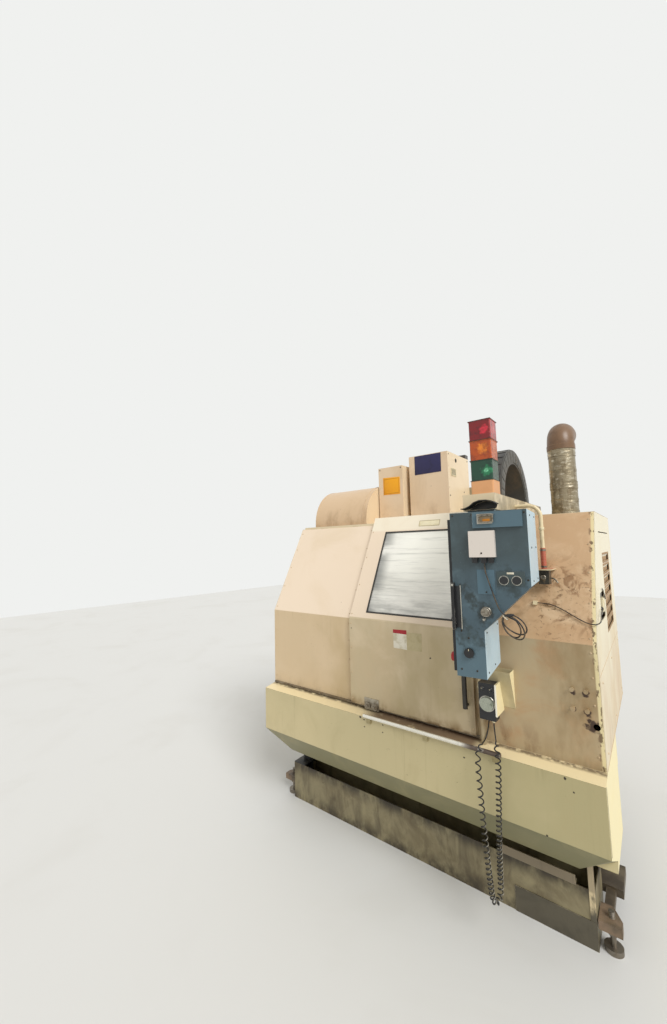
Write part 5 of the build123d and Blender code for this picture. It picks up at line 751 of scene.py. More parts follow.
class MACHINE_OT_metal_finishes(bpy.types.Operator):
    """Castings, ground and plated steel, the greasy tank and the aluminium duct"""

    bl_idname = "machine.metal_finishes"
    bl_label = "Metal finishes"

    def execute(self, context):
        greasy = patch("#33291F", 7, (0.3, 0.6), 0.85)
        # Thick brushed paint on sand castings, with black grease in patches low down and painted shade at the foot,
        # under the pan
        coat("machine_bed column magazine_frame spindle_head", "brushed_enamel_castings", "#A39A80", 0.48, [
            # The even dark tone low down is painted shade under the pan
            stain("#8A7F62", 0.6), tone("#574A38", 0.85, ("Z", 0.30, 0.20)),
            dict(greasy, zones=[("Z", 0.62, 0.40)]), patch("#86705A", 8, (0.35, 0.6), 0.85, ("Y", -0.56, -0.58)),
            runs("#5A4C38", 0.5), specks("#3A3024", 0.8), worn("#7A7266", 0.006, 0.6)], (CAST, WAVE))
        # Ground grey iron, dull from coolant: its lines are too fine to show and drawn 1 mm apart
        coat("saddle work_table", "ground_cast_iron", "#86827A", 0.32, [
            stain("#6A645A", 0.5), specks("#5E3F28", 0.6), worn("#A8A49C", 0.002, 0.7)], [((40, 900, 900), 0.00006)],
            Metallic=0.9)
        # Plating with rust in patches and bright worn edges
        coat("levelling_feet", "rusty_plated_steel", "#857E73", 0.4, [
            stain("#7A6E5C", 0.7, size=0.03), specks("#6A4428", 0.7, 0.01), worn("#D8D4CC", 0.002, 0.7)], [PEEL],
            Metallic=0.85)
        # Dull zinc: cream paint on the top rail, dirt on the foot rail, a black grip
        coat("door_fittings door_rails", "zinc_plated_fittings", "#B5AE9E", 0.34, [
            stain("#7E7058", 0.6, size=0.05), patch("#5E4E3A", (5, 5, 9), (0.2, 0.6), 0.85, ("Z", 0.925, 0.87)),
            tone("#E6D6B6", 0.9, ("Z", 1.9, 2.0)),
            tone("#1D1C1B", 0.92, ("X", 0.436, 0.440), ("X", 0.469, 0.466), ("Z", 1.26, 1.255), ("Z", 0.99, 0.995)),
            worn("#E0DCD2", 0.002, 0.6)], [PEEL], Metallic=0.55)
        # A bright bar with one rusty stretch, and its clips in dull zinc
        coat("ledge_bar", "polished_steel_bar", "#EAE6DA", 0.22, [
            stain("#C9C0A8", 0.4, size=0.2), patch("#4A3428", 26, (0.3, 0.5), 0.9, ("X", 0.40, 0.50), rough=0.6),
            specks("#7A5A38", 0.7, 0.01), tone("#A99C74", 0.95, ("Z", 0.829, 0.826), rough=0.5)], Metallic=0.75)
        # Bright ground steel: its lines are too fine to show and drawn 1 mm apart
        coat("guide_rails x_screw y_screw z_screw change_arm spindle", "ground_steel", "#B9B6B0", 0.22, [
            stain("#8E8A82", 0.5, size=0.1), specks("#5A4632", 0.4, 0.01), worn("#D8D6D0", 0.001, 0.6)],
            [((30, 900, 900), 0.00004)], Metallic=1.0)
        # Oily sheet with drips, blackest along its top and foot
        coat("coolant_tank", "stained_sheet_tank", "#8B8163", 0.5, [
            stain("#6A5E44", 0.7, size=0.22, cut=(0.40, 0.66)), stain("#A09673", 0.5, size=0.10),
            patch("#453A2A", (9, 9, 2.6), (0.46, 0.74), 0.75, detail=7.0, warp=0.8),
            patch("#2E261C", (12, 12, 9), (0.36, 0.62), 0.85, ("Z", 0.10, 0.0)),
            patch("#241C15", (12, 12, 6), (0.30, 0.6), 0.9, ("Z", 0.17, 0.252)), specks("#2E261C", 0.9, 0.018),
            worn("#5E503A", 0.005, 0.7)], (PEEL, WAVE))
        # Bare dark sheet with oil runs and pale rubbed edges, and one painted strip
        coat("tank_covers", "worn_sheet_steel", "#575142", 0.48, [
            stain("#3E392E", 0.7, size=0.2),
            patch("#DCC9A0", (30, 30, 12), (0.3, 0.5), 0.85, ("X", 0.925, 0.929), ("Z", 0.14, 0.17)),
            tone("#8E8069", 0.7, ("Z", 0.24, 0.252)), runs("#332C22", 0.6), specks("#2E2820", 0.8),
            worn("#A89C80", 0.004, 0.8)], (PEEL, WAVE))
        # Crumpled foil: dents, bright flecks of painted highlight on the crinkles, and brown dirt
        coat("exhaust_duct", "taped_aluminium_duct", "#9A8E76", 0.34, [
            # Painted highlights: the bright flecks on the crinkles
            stain("#74664E", 0.8, size=0.05), patch("#D8CFBA", (22, 22, 60), (0.52, 0.68), 0.8, detail=6.0),
            patch("#6A5A42", (30, 30, 12), (0.5, 0.7), 0.7), specks("#4E4030", 0.7, 0.012)],
            [((60, 60, 160), 0.0016), ((14, 14, 30), 0.003)], Metallic=0.7)
        # Dull zinc with dirt in patches
        surface("zinc_screws", "#938D80", 0.36, [patch("#4A3A2A", 90, (0.46, 0.6), 0.6)], Metallic=0.8)
        # Screws sprayed over with the panels' cream
        surface("painted_screws", "#CDB795", 0.42, [stain("#A48A64", 0.6, size=0.02), specks("#5F4A34", 0.7, 0.005)],
            [PEEL])
        # Oiled dark steel
        surface("dark_screws", "#4A433A", 0.45, [patch("#2A2420", 90, (0.46, 0.6), 0.6)], Metallic=0.6)
        # Bright chrome with a few dull patches
        surface("chrome_plate", "#B9B6AC", 0.14, [stain("#8A857A", 0.5, size=0.02)], Metallic=0.9)
        # Brown filter mat, with rough fibres
        surface("louvre_filter", "#A68865", 0.85, [stain("#6E573E", 0.7, size=0.08), specks("#4E3D2C", 0.6, 0.01)],
            [((500, 500, 500), 0.0015)])
        return {"FINISHED"}


class MACHINE_OT_plastic_finishes(bpy.types.Operator):
    """Plastics, lamp lenses, rubber and the window, with the pendant's enamel"""

    bl_idname = "machine.plastic_finishes"
    bl_label = "Plastic and glass finishes"

    def execute(self, context):
        looks = settings()
        dusty = patch("#6E675A", 12, (0.4, 0.6), 0.4, facing=("Z", 0.3, 0.9))
        # Blue-grey enamel, dark round the controls that hands touch, with a painted sheen that makes its right side
        # pale
        coat("pendant_case pendant_swivel", "sprayed_enamel_pendant", (*looks.pendant_colour, 1), 0.34, [
            stain("#33424A", 0.6, size=0.16),
            patch("#3B4A50", (5, 5, 3), (0.3, 0.6), 0.7, ("X", 0.09, -0.03), ("Z", 1.62, 1.70)),
            stain("#647C86", 0.4, size=0.09), tone("#546C77", 0.8, ("Z", 1.46, 1.38)),
            patch("#3A4443", (4, 4, 3), (0.2, 0.6), 0.6, ("Z", 1.68, 1.82)),
            # Painted sheen: the faces turned right are much paler
            tone("#C6DEEA", 0.85, facing=("X", 0.7, 0.97)),
            patch("#27302F", 26, (0.3, 0.6), 0.85,
                spots=in_plane(CASE_SIDE, (0.022, 1.562, 0.052), (-0.06, 1.66, 0.03), (-0.045, 1.62, 0.03),
                    (-0.018, 1.59, 0.032), (0.02, 1.50, 0.03))),
            patch("#2C3838", 20, (0.3, 0.6), 0.8,
                spots=in_plane(CASE_SIDE, (-0.06, 1.45, 0.06), (-0.09, 1.50, 0.05), (-0.053, 1.385, 0.036),
                    (0.133, 1.69, 0.075), (-0.02, 1.42, 0.04))), specks("#2A3438", 0.7, 0.012),
            specks("#A8BCC4", 0.5, 0.009), worn("#9FB2BA", 0.003, 0.8)], [PEEL, WAVE], pendant=True)
        # One node with several parts: white box, black gland, blue lid, grey and bright studs
        coat("pendant_fittings", "pendant_fittings_finish", "#D8CFC6", 0.4, [
            tone("#4F6874", 1.0, ("Z", 1.918, 1.922)),
            tone("#B9B3A6", 0.95, ("Z", 1.918, 1.922), ("Y", -0.1886, -0.1890), rough=0.25),
            tone("#1A1A1B", 1.0, ("Z", 1.7966, 1.7962), ("Z", 1.76, 1.765)),
            tone("#4C6673", 1.0, ("Z", 1.764, 1.760), ("Z", 1.63, 1.634), ("X", 0.072, 0.070)),
            tone("#3B494B", 1.0, ("X", 0.074, 0.076), ("Z", 1.74, 1.738), ("Z", 1.67, 1.672)),
            tone("#C9CEC4", 0.95, ("X", 0.074, 0.076), ("Y", -0.1776, -0.1782), ("Z", 1.74, 1.738),
                ("Z", 1.67, 1.672), rough=0.2), tone("#B5ABA2", 1.0, ("Z", 1.60, 1.59), ("X", -0.01, 0.0), rough=0.3),
            tone("#171718", 1.0, ("Z", 1.69, 1.688), ("X", -0.02, -0.025), ("Z", 1.45, 1.46)),
            tone("#1B1B1C", 1.0, ("Z", 1.42, 1.41), ("X", -0.02, -0.03)), specks("#4A4238", 0.6, 0.01),
            worn("#EDE6DA", 0.0015, 0.5)], [PEEL], pendant=True)
        # Black plastic with a pale key field
        coat("pendant_display operator_panel", "pendant_panel_plastic", "#1E2022", 0.45, [
            tone("#C8C2B0", 1.0, ("X", -0.1285, -0.1290), ("Z", 1.66, 1.65), ("Z", 1.48, 1.50)),
            patch("#8EA39A", (0.01, 45, 0.01), (0.49, 0.51), 1.0, ("X", -0.1285, -0.1290), ("Z", 1.60, 1.598),
                ("Z", 1.48, 1.50)), stain("#2C2E2E", 0.4, size=0.1), specks("#8A8474", 0.4, 0.01),
            worn("#5A5A58", 0.002, 0.6)], [PEEL], pendant=True)
        # Black plastic, dusty on top and grey at its edges
        black = surface("moulded_black_plastic", "#1F2022", 0.42,
            [dusty, specks("#5A5448", 0.5, 0.01), worn("#4A4A48", 0.002, 0.6)], [PEEL])
        dressed("coolant_pump override_knob power_on_button power_off_button tool_magazine handwheel_box", black)
        # Chromed dial with a cloudy film
        coat("handwheel_dial", "chromed_dial", "#A9AEA0", 0.2,
            [stain("#7A8074", 0.6, size=0.02), specks("#3A3A34", 0.7, 0.006)], Metallic=0.8)
        # Dull nylon, dusty and paler on its side
        coat("cable_chain", "moulded_nylon_chain", "#353433", 0.48, [
            tone("#5E5D58", 0.85, facing=("X", 0.6, 0.95)), dusty, stain("#6A5844", 0.45, size=0.1),
            specks("#8A7C66", 0.5, 0.01)], [PEEL])
        ribs = [((0.01, 0.01, 260), 0.0012)]
        clear = {"Coat Weight": 0.25, "Coat Roughness": 0.08}
        # Ribbed red lens with a painted glow where the bulb sits, and a painted highlight on its right side
        coat("stack_lens_red", "red_lamp_lens", "#7C0A10", 0.22, [
            # Painted glow where the bulb sits
            tone("#D8223A", 0.9, spots=[(0.690, -1.056, 2.40, 0.026), (0.721, -0.99, 2.40, 0.024)], rough=0.12),
            # Painted highlight on the faces turned right
            tone("#C83A38", 0.65, facing=("X", 0.6, 0.9)), patch("#48060C", 30, (0.45, 0.65), 0.6),
            worn("#D86A6A", 0.003, 0.5)], ribs, **clear)
        # Ribbed amber lens with a painted glow where the bulb sits, and a painted highlight on its right side
        coat("stack_lens_amber", "amber_lamp_lens", "#B24A05", 0.22, [
            # Painted glow where the bulb sits
            tone("#F08A1E", 0.85, spots=[(0.680, -1.056, 2.31, 0.030), (0.721, -0.99, 2.31, 0.024)], rough=0.12),
            # Painted highlight on the faces turned right
            tone("#D9733A", 0.55, facing=("X", 0.6, 0.9)), patch("#7E2C04", 34, (0.46, 0.62), 0.6),
            worn("#F2B070", 0.003, 0.5)], ribs, **clear)
        # Ribbed green lens, with a painted glow and a small painted glint where the bulb sits
        coat("stack_lens_green", "green_lamp_lens", "#083F29", 0.22, [
            # Painted glow and a small painted glint where the bulb sits
            tone("#1E8A56", 0.8, spots=[(0.690, -1.056, 2.203, 0.030)], rough=0.12),
            tone("#8CF2B8", spots=[(0.6925, -1.056, 2.203, 0.013)], rough=0.12),
            patch("#052A1C", 30, (0.46, 0.62), 0.6), worn("#6ABF98", 0.003, 0.5)], ribs, **clear)
        # Peach-coloured plastic with pale edges
        coat("stack_light_base", "moulded_lamp_base", "#E0A572", 0.4,
            [stain("#D69A68", 0.5, size=0.06), specks("#5F4A34", 0.7, 0.01), worn("#F6D2AE", 0.002, 0.6)], [PEEL])
        # Glossy red button
        coat("emergency_stop", "moulded_red_plastic", "#B0161C", 0.28,
            [stain("#7E0E12", 0.5, size=0.02), worn("#E06A6A", 0.001, 0.5)])
        # Glossy green button
        coat("cycle_start", "moulded_green_plastic", "#1F7A44", 0.28,
            [stain("#125A30", 0.5, size=0.02), worn("#7AC89A", 0.001, 0.5)])
        # Black rubber, pale where it hangs low and faces right: partly dust, partly painted highlight
        coat("curly_cord side_cable pendant_cable", "extruded_rubber_cord", "#1F1D1B", 0.45, [
            # Partly dust, partly painted highlight on the right-facing turns low down
            patch("#A39C8A", (30, 30, 9), (0.36, 0.6), 0.75, ("Z", 0.75, 0.35), facing=("X", 0.1, 0.8)),
            patch("#6E5C44", (50, 50, 20), (0.42, 0.6), 0.5, ("Z", 1.0, 1.3))])
        # Scratched pane: pale clouds, partly milky film and partly painted reflection, fine level scratches, a
        # painted bright reflection near its top, darker at its left and foot
        coat("door_window", "scratched_window", "#F3F1E9", 0.16, [
            patch("#C9C8BF", (1.3, 5, 5), (0.42, 0.68), 0.65, detail=6.0),
            patch("#F4F3EA", (2.0, 9, 9), (0.44, 0.62), 0.8, detail=8.0),
            # Painted reflection: the brightest patch, near the top
            patch("#FFFEF4", 2.4, (0.16, 0.46), 0.92, ("Z", 1.56, 1.76), ("X", -0.14, 0.06)),
            patch("#A3A39E", (3.2, 70, 70), (0.50, 0.70), 0.45, detail=7.0, warp=0.2),
            patch("#F8F7EE", (7, 110, 110), (0.54, 0.68), 0.7, detail=6.0),
            patch("#6C6E6C", (2.5, 7, 7), (0.30, 0.6), 0.75, ("X", -0.08, -0.175)),
            patch("#7A7B78", (2.5, 9, 9), (0.34, 0.62), 0.65, ("Z", 1.60, 1.45))], [((7, 120, 120), 0.0004)],
            **{"Coat Weight": 0.8, "Coat Roughness": 0.05})
        # Dull black rubber
        surface("door_gasket_rubber", "#2E2D2B", 0.6, [stain("#5A5244", 0.5, size=0.04)])
        # Yellowed white label
        surface("label_sheet", "#E2DCCB", 0.5, [stain("#B5A988", 0.7, size=0.05), specks("#7A6A4C", 0.6, 0.008)])
        # Faded red strip
        surface("label_red", "#A8202A", 0.5, [stain("#7C1A20", 0.5, size=0.03), specks("#C9A9A0", 0.6, 0.005)])
        # Old label, almost the panel's own cream
        surface("faded_label", "#BBAE88", 0.5, [stain("#A6986E", 0.6, size=0.04)])
        # Yellow sign plate, slightly wavy
        surface("sign_yellow", "#F0A60E", 0.42,
            [stain("#D88E0A", 0.6, size=0.05), specks("#8A5A18", 0.5, 0.008), worn("#F6D27A", 0.001, 0.4)],
            [((9, 9, 9), 0.002)])
        # The sign's ochre border line
        surface("sign_yellow_line", "#B4700C", 0.45, [stain("#A86A0A", 0.5, size=0.03)])
        # Navy sign plate, slightly wavy
        surface("sign_navy", "#211D4C", 0.4, [stain("#181538", 0.6, size=0.06), specks("#6A6A80", 0.4, 0.006)],
            [((9, 9, 9), 0.002)])
        # Dull red hose
        surface("moulded_red_hose", "#B4523C", 0.45,
            [stain("#8E3A2A", 0.6, size=0.03), specks("#D8A08A", 0.5, 0.006)])
        # Cream plastic with dirt in its corners
        surface("cream_moulding", "#E4D8B4", 0.4, [stain("#B8A67C", 0.6, size=0.03), specks("#5F4C34", 0.7, 0.006)])
        # Brown card in its holder
        surface("brown_card", "#7E6D52", 0.6, [stain("#5E4E38", 0.6, size=0.02)])
        # Yellowed nylon
        surface("white_nylon_tie", "#D9CFBA", 0.4, [stain("#B0A284", 0.6, size=0.01)])
        # A switched-off screen, glossy and almost black
        surface("dark_screen", "#10181A", 0.08, [stain("#1C2A2A", 0.5, size=0.1), specks("#5A605A", 0.3, 0.006)],
            **{"Coat Weight": 1.0})
        # Yellowed plastic in the slot
        surface("yellowed_slot", "#EDE3C2", 0.45, [stain("#D9CB9C", 0.6, size=0.03)])
        return {"FINISHED"}


class MACHINE_OT_door_pieces(bpy.types.Operator):
    """The window's gasket, the bare labels and the slot on the door"""

    bl_idname = "machine.door_pieces"
    bl_label = "Door pieces"

    def execute(self, context):
        low, high = up_slant(1.433, DOOR_OUT), up_slant(1.957, DOOR_OUT)
        gasket = ring_frame((-0.190, low), (0.386, high), 0.010, 0.0285, 0.0325, at=SLANT)
        piece("window_gasket", "front_door", "black_plastic", [gasket], "door_gasket_rubber")
        labels = []
        for outline, top, skin in (
            ([(0.107, 1.244), (0.202, 1.246), (0.204, 1.348), (0.107, 1.346)], 0.0304, 1),
            ([(0.018, 1.246), (0.107, 1.244), (0.107, 1.333), (0.017, 1.333)], 0.0305, 0),
            ([(0.017, 1.333), (0.107, 1.333), (0.108, 1.357), (0.017, 1.354)], 0.0306, 2),
        ):
            labels.append(plate(outline, DOOR_OUT, top, 0.0001, UPRIGHT, skin))
        piece("door_labels", "front_door", "cream_plastic", labels, "label_sheet", "faded_label", "label_red")
        low, high = up_slant(1.985, DOOR_OUT), up_slant(2.024, DOOR_OUT)
        slot = [
            ring_frame((0.058, low), (0.204, high), 0.0035, 0.0299, 0.0316, 0.0005, SLANT, 1),
            block((0.061, low + 0.003, 0.0299), (0.201, high - 0.003, 0.0304), 0.0001, SLANT),
        ]
        piece("door_top_slot", "front_door", "cream_plastic", slot, "yellowed_slot", "faded_label")
        heads = []
        for x in DOOR_SIDES:
            heads += [screw(x, up_slant(z, DOOR_OUT), 0.0042, SLANT, DOOR_OUT) for z in (1.42, 1.60, 1.78, 1.96)]
        for x in DOOR_SIDES:
            heads += [screw(x, z, 0.0042, UPRIGHT, DOOR_OUT) for z in (0.89, 1.05, 1.21, 1.36)]
        piece("door_screws", "front_door", "screw_steel", heads, "painted_screws")
        return {"FINISHED"}


class MACHINE_OT_wall_pieces(bpy.types.Operator):
    """Screws, louvres, seams and cable entries of the walls, and the cabinet's vents"""

    bl_idname = "machine.wall_pieces"
    bl_label = "Wall pieces"

    def execute(self, context):
        lines = (-1.030, -0.335, 1.022)
        heads = [screw(x, z, 0.0045, UPRIGHT) for x in lines for z in (0.90, 1.12, 1.24, 1.35)]
        heads += [screw(x, up, 0.0045, SLANT) for x in lines for up in (0.03, 0.20, 0.36, 0.52, 0.67)]
        heads += [screw(y, z, 0.005, RIGHT) for y in (-0.70, -0.18, 0.35) for z in (0.89, 1.20)]
        piece("panel_screws", "machine", "screw_steel", heads, "painted_screws")
        mat = block((-0.235, 1.345, -0.016), (0.185, 1.795, -0.010), 0.002, RIGHT)
        tilt = Matrix.Rotation(math.radians(28), 4, "X")
        edges, blades = [], []
        for n in range(LOUVRES):
            down = LOUVRE_PITCH * n
            low, high = (-0.230, 1.732 - down), (0.180, 1.790 - down)
            edges.append(ring_frame(low, high, 0.009, -0.0002, 0.0008, 0.0002, RIGHT))
            hung = RIGHT @ moved(-0.025, 1.782 - down, -0.002) @ tilt
            blades.append(block((-0.196, -0.043, 0), (0.196, 0.0, 0.0012), 0.0004, hung))
        piece("louvre_filter", "machine", "black_plastic", [mat, *edges], "louvre_filter")
        piece("louvre_blades", "machine", "side_paint", blades, "sprayed_enamel_walls")
        seams = [block((-0.785, 1.246, -0.001), (0.398, 1.2485, 0.0012), 0.0004, RIGHT),
            block((-0.785, 0.845, -0.001), (0.398, 0.850, 0.0015), 0.0005, RIGHT)]
        seams.append(plate([(-0.8745, 0.545), (-0.8710, 0.545), (-0.8710, 0.822), (-0.8745, 0.822)], 0, 0.0008,
            0.0002, RIGHT, 1))
        piece("side_seams", "machine", "side_paint", seams, "painted_screws", "dark_screws")
        entry = [
            block((-0.48, 1.462, -0.013), (-0.31, 1.580, -0.010), 0.001, RIGHT),
            block((-0.425, 1.485, -0.010), (-0.365, 1.555, 0.005), 0.004, RIGHT, 2),
            block((-0.415, 1.525, 0.0045), (-0.375, 1.548, 0.0065), 0.0008, RIGHT, 2),
            swept([(-0.418, 1.606, 0.004), (-0.36, 1.574, 0.006), (-0.296, 1.541, 0.004)], 0.005, RIGHT, 1),
        ]
        gland = [(0, -0.004), (0.0045, -0.004), (0.008, 0.001), (0.008, 0.012), (0.011, 0.012), (0.011, 0.017),
            (0, 0.017)]
        entry.append(turned(gland, axes((0, 0, 1), (1, 0, 0), (1.046, -0.474, 1.507)), skin=1))
        for z in (1.50, 1.545):
            out = axes((0, 1, 0), (-1, 0, 0), (1.040, -0.345, z)) @ Matrix.Rotation(math.pi / 2, 4, "Y")
            entry.append(turned(gland, out, skin=2))
        piece("cable_entry", "machine", "zinc_steel", entry, "zinc_screws", "moulded_black_plastic", "cream_moulding")
        vents = []
        for z in (0.74, 1.76):
            vents.append(ring_frame((-0.17, z), (0.17, z + 0.11), 0.012, 0.0, 0.007, at=REAR))
            for n in range(7):
                slat = REAR @ moved(0, z + 0.014 + 0.012 * n, 0.001) @ Matrix.Rotation(math.radians(-35), 4, "X")
                vents.append(block((-0.16, 0, 0), (0.16, 0.012, 0.0015), 0.0005, slat))
        vents.append(plate([(-0.45, 1.60), (-0.34, 1.60), (-0.34, 1.67), (-0.45, 1.67)], 0, 0.001, 0.0003, REAR, 1))
        lock = [(0, 0.002), (0.004, 0.002), (0.005, 0.005), (0.012, 0.005), (0.014, 0), (0, 0)]
        vents.append(turned(lock, REAR @ moved(-0.485, 1.24), skin=1))
        piece("cabinet_door_parts", "cabinet_door", "zinc_steel", vents, "moulded_black_plastic", "zinc_screws")
        pump = moved(-0.897, -0.56993)
        fins = []
        for z in (0.268, 0.281, 0.294, 0.307, 0.320, 0.333, 0.346):
            fin = [(0.047, z), (0.0535, z + 0.002), (0.0535, z + 0.005), (0.047, z + 0.007), (0.047, z)]
            fins.append(turned(fin, pump, 32))
        cowl = turned([(0, 0.378), (0.030, 0.377), (0.043, 0.371), (0.048, 0.362), (0, 0.362)], pump, 32)
        piece("pump_fins", "machine", "motor_black", [*fins, cowl], "moulded_black_plastic")
        root, crest = 0.0113, 0.0128
        thread = [(root if n % 2 else crest, 0.1405 + 0.0011 * n) for n in range(25)]
        bolt = [(root, 0.140), *thread, (root, 0.168), (root, 0.140)]
        threads = [turned(bolt, moved(x, y), 20) for x, y in FEET]
        piece("foot_threads", "machine", "zinc_steel", threads, "rusty_plated_steel")
        return {"FINISHED"}


class MACHINE_OT_roof_pieces(bpy.types.Operator):
    """Bare signs and plates on the covers, the chain's links, the duct's tape and the lamp's seams"""

    bl_idname = "machine.roof_pieces"
    bl_label = "Roof pieces"

    def execute(self, context):
        relay = front_plane(0, -0.170, 0)
        yellow = [
            plate([(-0.404, 2.415), (-0.403, 2.274), (-0.251, 2.271), (-0.2505, 2.409)], 0, 0.0013, 0.0003, relay),
            ring_frame((-0.396, 2.281), (-0.259, 2.402), 0.003, 0.0012, 0.0016, 0.0001, relay, 1),
        ]
        piece("yellow_sign", "machine", "cover_paint", yellow, "sign_yellow", "sign_yellow_line")
        motor = front_plane(0, -0.110, 0)
        navy = plate([(-0.145, 2.562), (-0.1465, 2.412), (0.072, 2.415), (0.0735, 2.561)], 0, 0.0015, 0.0004, motor)
        piece("navy_sign", "machine", "cover_paint", [navy], "sign_navy")
        side = right_plane(0.125, 0, 0)
        vent = [
            ring_frame((-0.055, 2.384), (0.045, 2.444), 0.006, 0, 0.004, at=side),
            block((-0.05, 2.389, -0.0005), (0.04, 2.439, 0.0008), 0.0002, side, 1),
        ]
        for n in range(5):
            up = 0.0095 * n
            vent.append(block((-0.050, 2.392 + up, 0.0005), (0.040, 2.397 + up, 0.003), 0.0006, side))
        button = [(0, 0.004), (0.012, 0.004), (0.016, 0.0015), (0.017, 0), (0, 0)]
        vent.append(turned(button, side @ moved(0.055, 2.515), skin=1))
        piece("motor_vent", "machine", "cover_paint", vent, "cream_moulding", "dark_screws")
        spots = ((-0.085, 2.228), (0.2035, 2.278), (-0.0895, 2.545), (0.305, 2.545), (0.305, 2.050), (-0.085, 2.050))
        heads = [screw(y, z, 0.005, side) for y, z in spots]
        heads += [screw(x, z, 0.0045, relay) for x in (-0.432, -0.241) for z in (2.035, 2.482)]
        piece("cover_screws", "machine", "screw_steel", heads, "dark_screws")
        arc = [(-0.3605, 2.017)]
        for a in range(0, 181, 6):
            a = math.radians(a)
            arc.append((ARCH_Y - ARCH_RADIUS * math.cos(a), ARCH_Z + ARCH_RADIUS * math.sin(a)))
        arc.append((0.2405, 2.017))
        ribs = []
        for x, width, thick in ((-0.494, 0.005, 0.0022), (-0.478, 0.023, 0.0009), (-0.9795, 0.018, 0.0009)):
            ribs.append(bent_sheet(arc, width, thick, right_plane(x, 0, 0)))
        piece("magazine_seams", "machine", "cover_paint", ribs, "sprayed_enamel_covers")

        def wedge(low, high, start, end):
            """The outline of one link: its two radii, and its first and last degree."""
            turns = [math.radians(start + (end - start) * n / 4) for n in range(5)]
            return [on_circle(low, turn) for turn in turns] + [on_circle(high, turn) for turn in reversed(turns)]

        links = []
        for way, x in ((1, 0.665), (-1, 0.535)):
            face = axes((0, way, 0), (0, 0, 1), (x, CHAIN_Y, CHAIN_Z))
            for n in range(LINKS):
                start = LINK_TURN * n
                links.append(plate(wedge(0.245, 0.310, start + 0.5, start + 11.5), 0, 0.003, 0.001, face))
                middle = math.radians(start + LINK_TURN / 2)
                pin = moved(*on_circle(PIN_RADIUS, middle), 0.003)
                links.append(turned([(0, 0.001), (0.006, 0.001), (0.007, 0), (0, -0.001)], face @ pin, 12))
        bars = right_plane(0.541, CHAIN_Y, CHAIN_Z)
        for n in range(LINKS):
            start = LINK_TURN * n
            links.append(plate(wedge(0.3195, 0.3232, start + 2.5, start + 9.5), 0, 0.118, 0.001, bars))
        piece("chain_links", "machine", "chain_plastic", links, "moulded_nylon_chain")
        duct = moved(*DUCT_AXIS)
        tape = []
        wraps = (
            (2.394, 2.438, 0.0775), (2.296, 2.320, 0.0767), (2.186, 2.232, 0.0773), (2.104, 2.124, 0.0767),
            (2.028, 2.052, 0.0770),
        )
        for low, high, radius in wraps:
            # Wavy down its width, and crumpled round the duct by up to half a millimetre
            steps = max(2, round((high - low) / 0.006))
            rows = [(radius + 0.0008 * math.sin(1.9 * n + 40 * low), low + (high - low) * n / steps)
                for n in range(steps + 1)]
            band = turned([(0.0742, low), *rows, (0.0742, high), (0.0742, low)], steps=48)
            for v in band.verts:
                if v.co.xy.length > 0.075:
                    around = math.atan2(v.co.y, v.co.x)
                    v.co.xy *= 1 + 0.006 * math.sin(7 * around + 90 * v.co.z) * math.sin(3 * around - 55 * v.co.z)
            band.transform(duct)
            tape.append(band)
        seam = []
        for n in range(94):  # a spiral that climbs 50 mm a turn
            turn = math.tau * n / 12
            seam.append((*on_circle(0.0762, turn), 2.030 + 0.050 * n / 12))
        piece("duct_tape", "machine", "duct_sheet", [*tape, swept(seam, 0.0022, duct)], "taped_aluminium_duct")
        lamp = [ring_frame((0.6140, -1.0569), (0.7220, -0.9489), 0.0045, z - 0.0016, z + 0.0016, 0.0006)
            for z in (2.1565, 2.2550, 2.3535)]
        lamp.append(ring_frame((0.6143, -1.0566), (0.7217, -0.9492), 0.010, 2.4490, 2.4528, 0.0012))
        piece("lamp_seams", "machine", "lamp_plastic", lamp, "dark_screws")
        return {"FINISHED"}


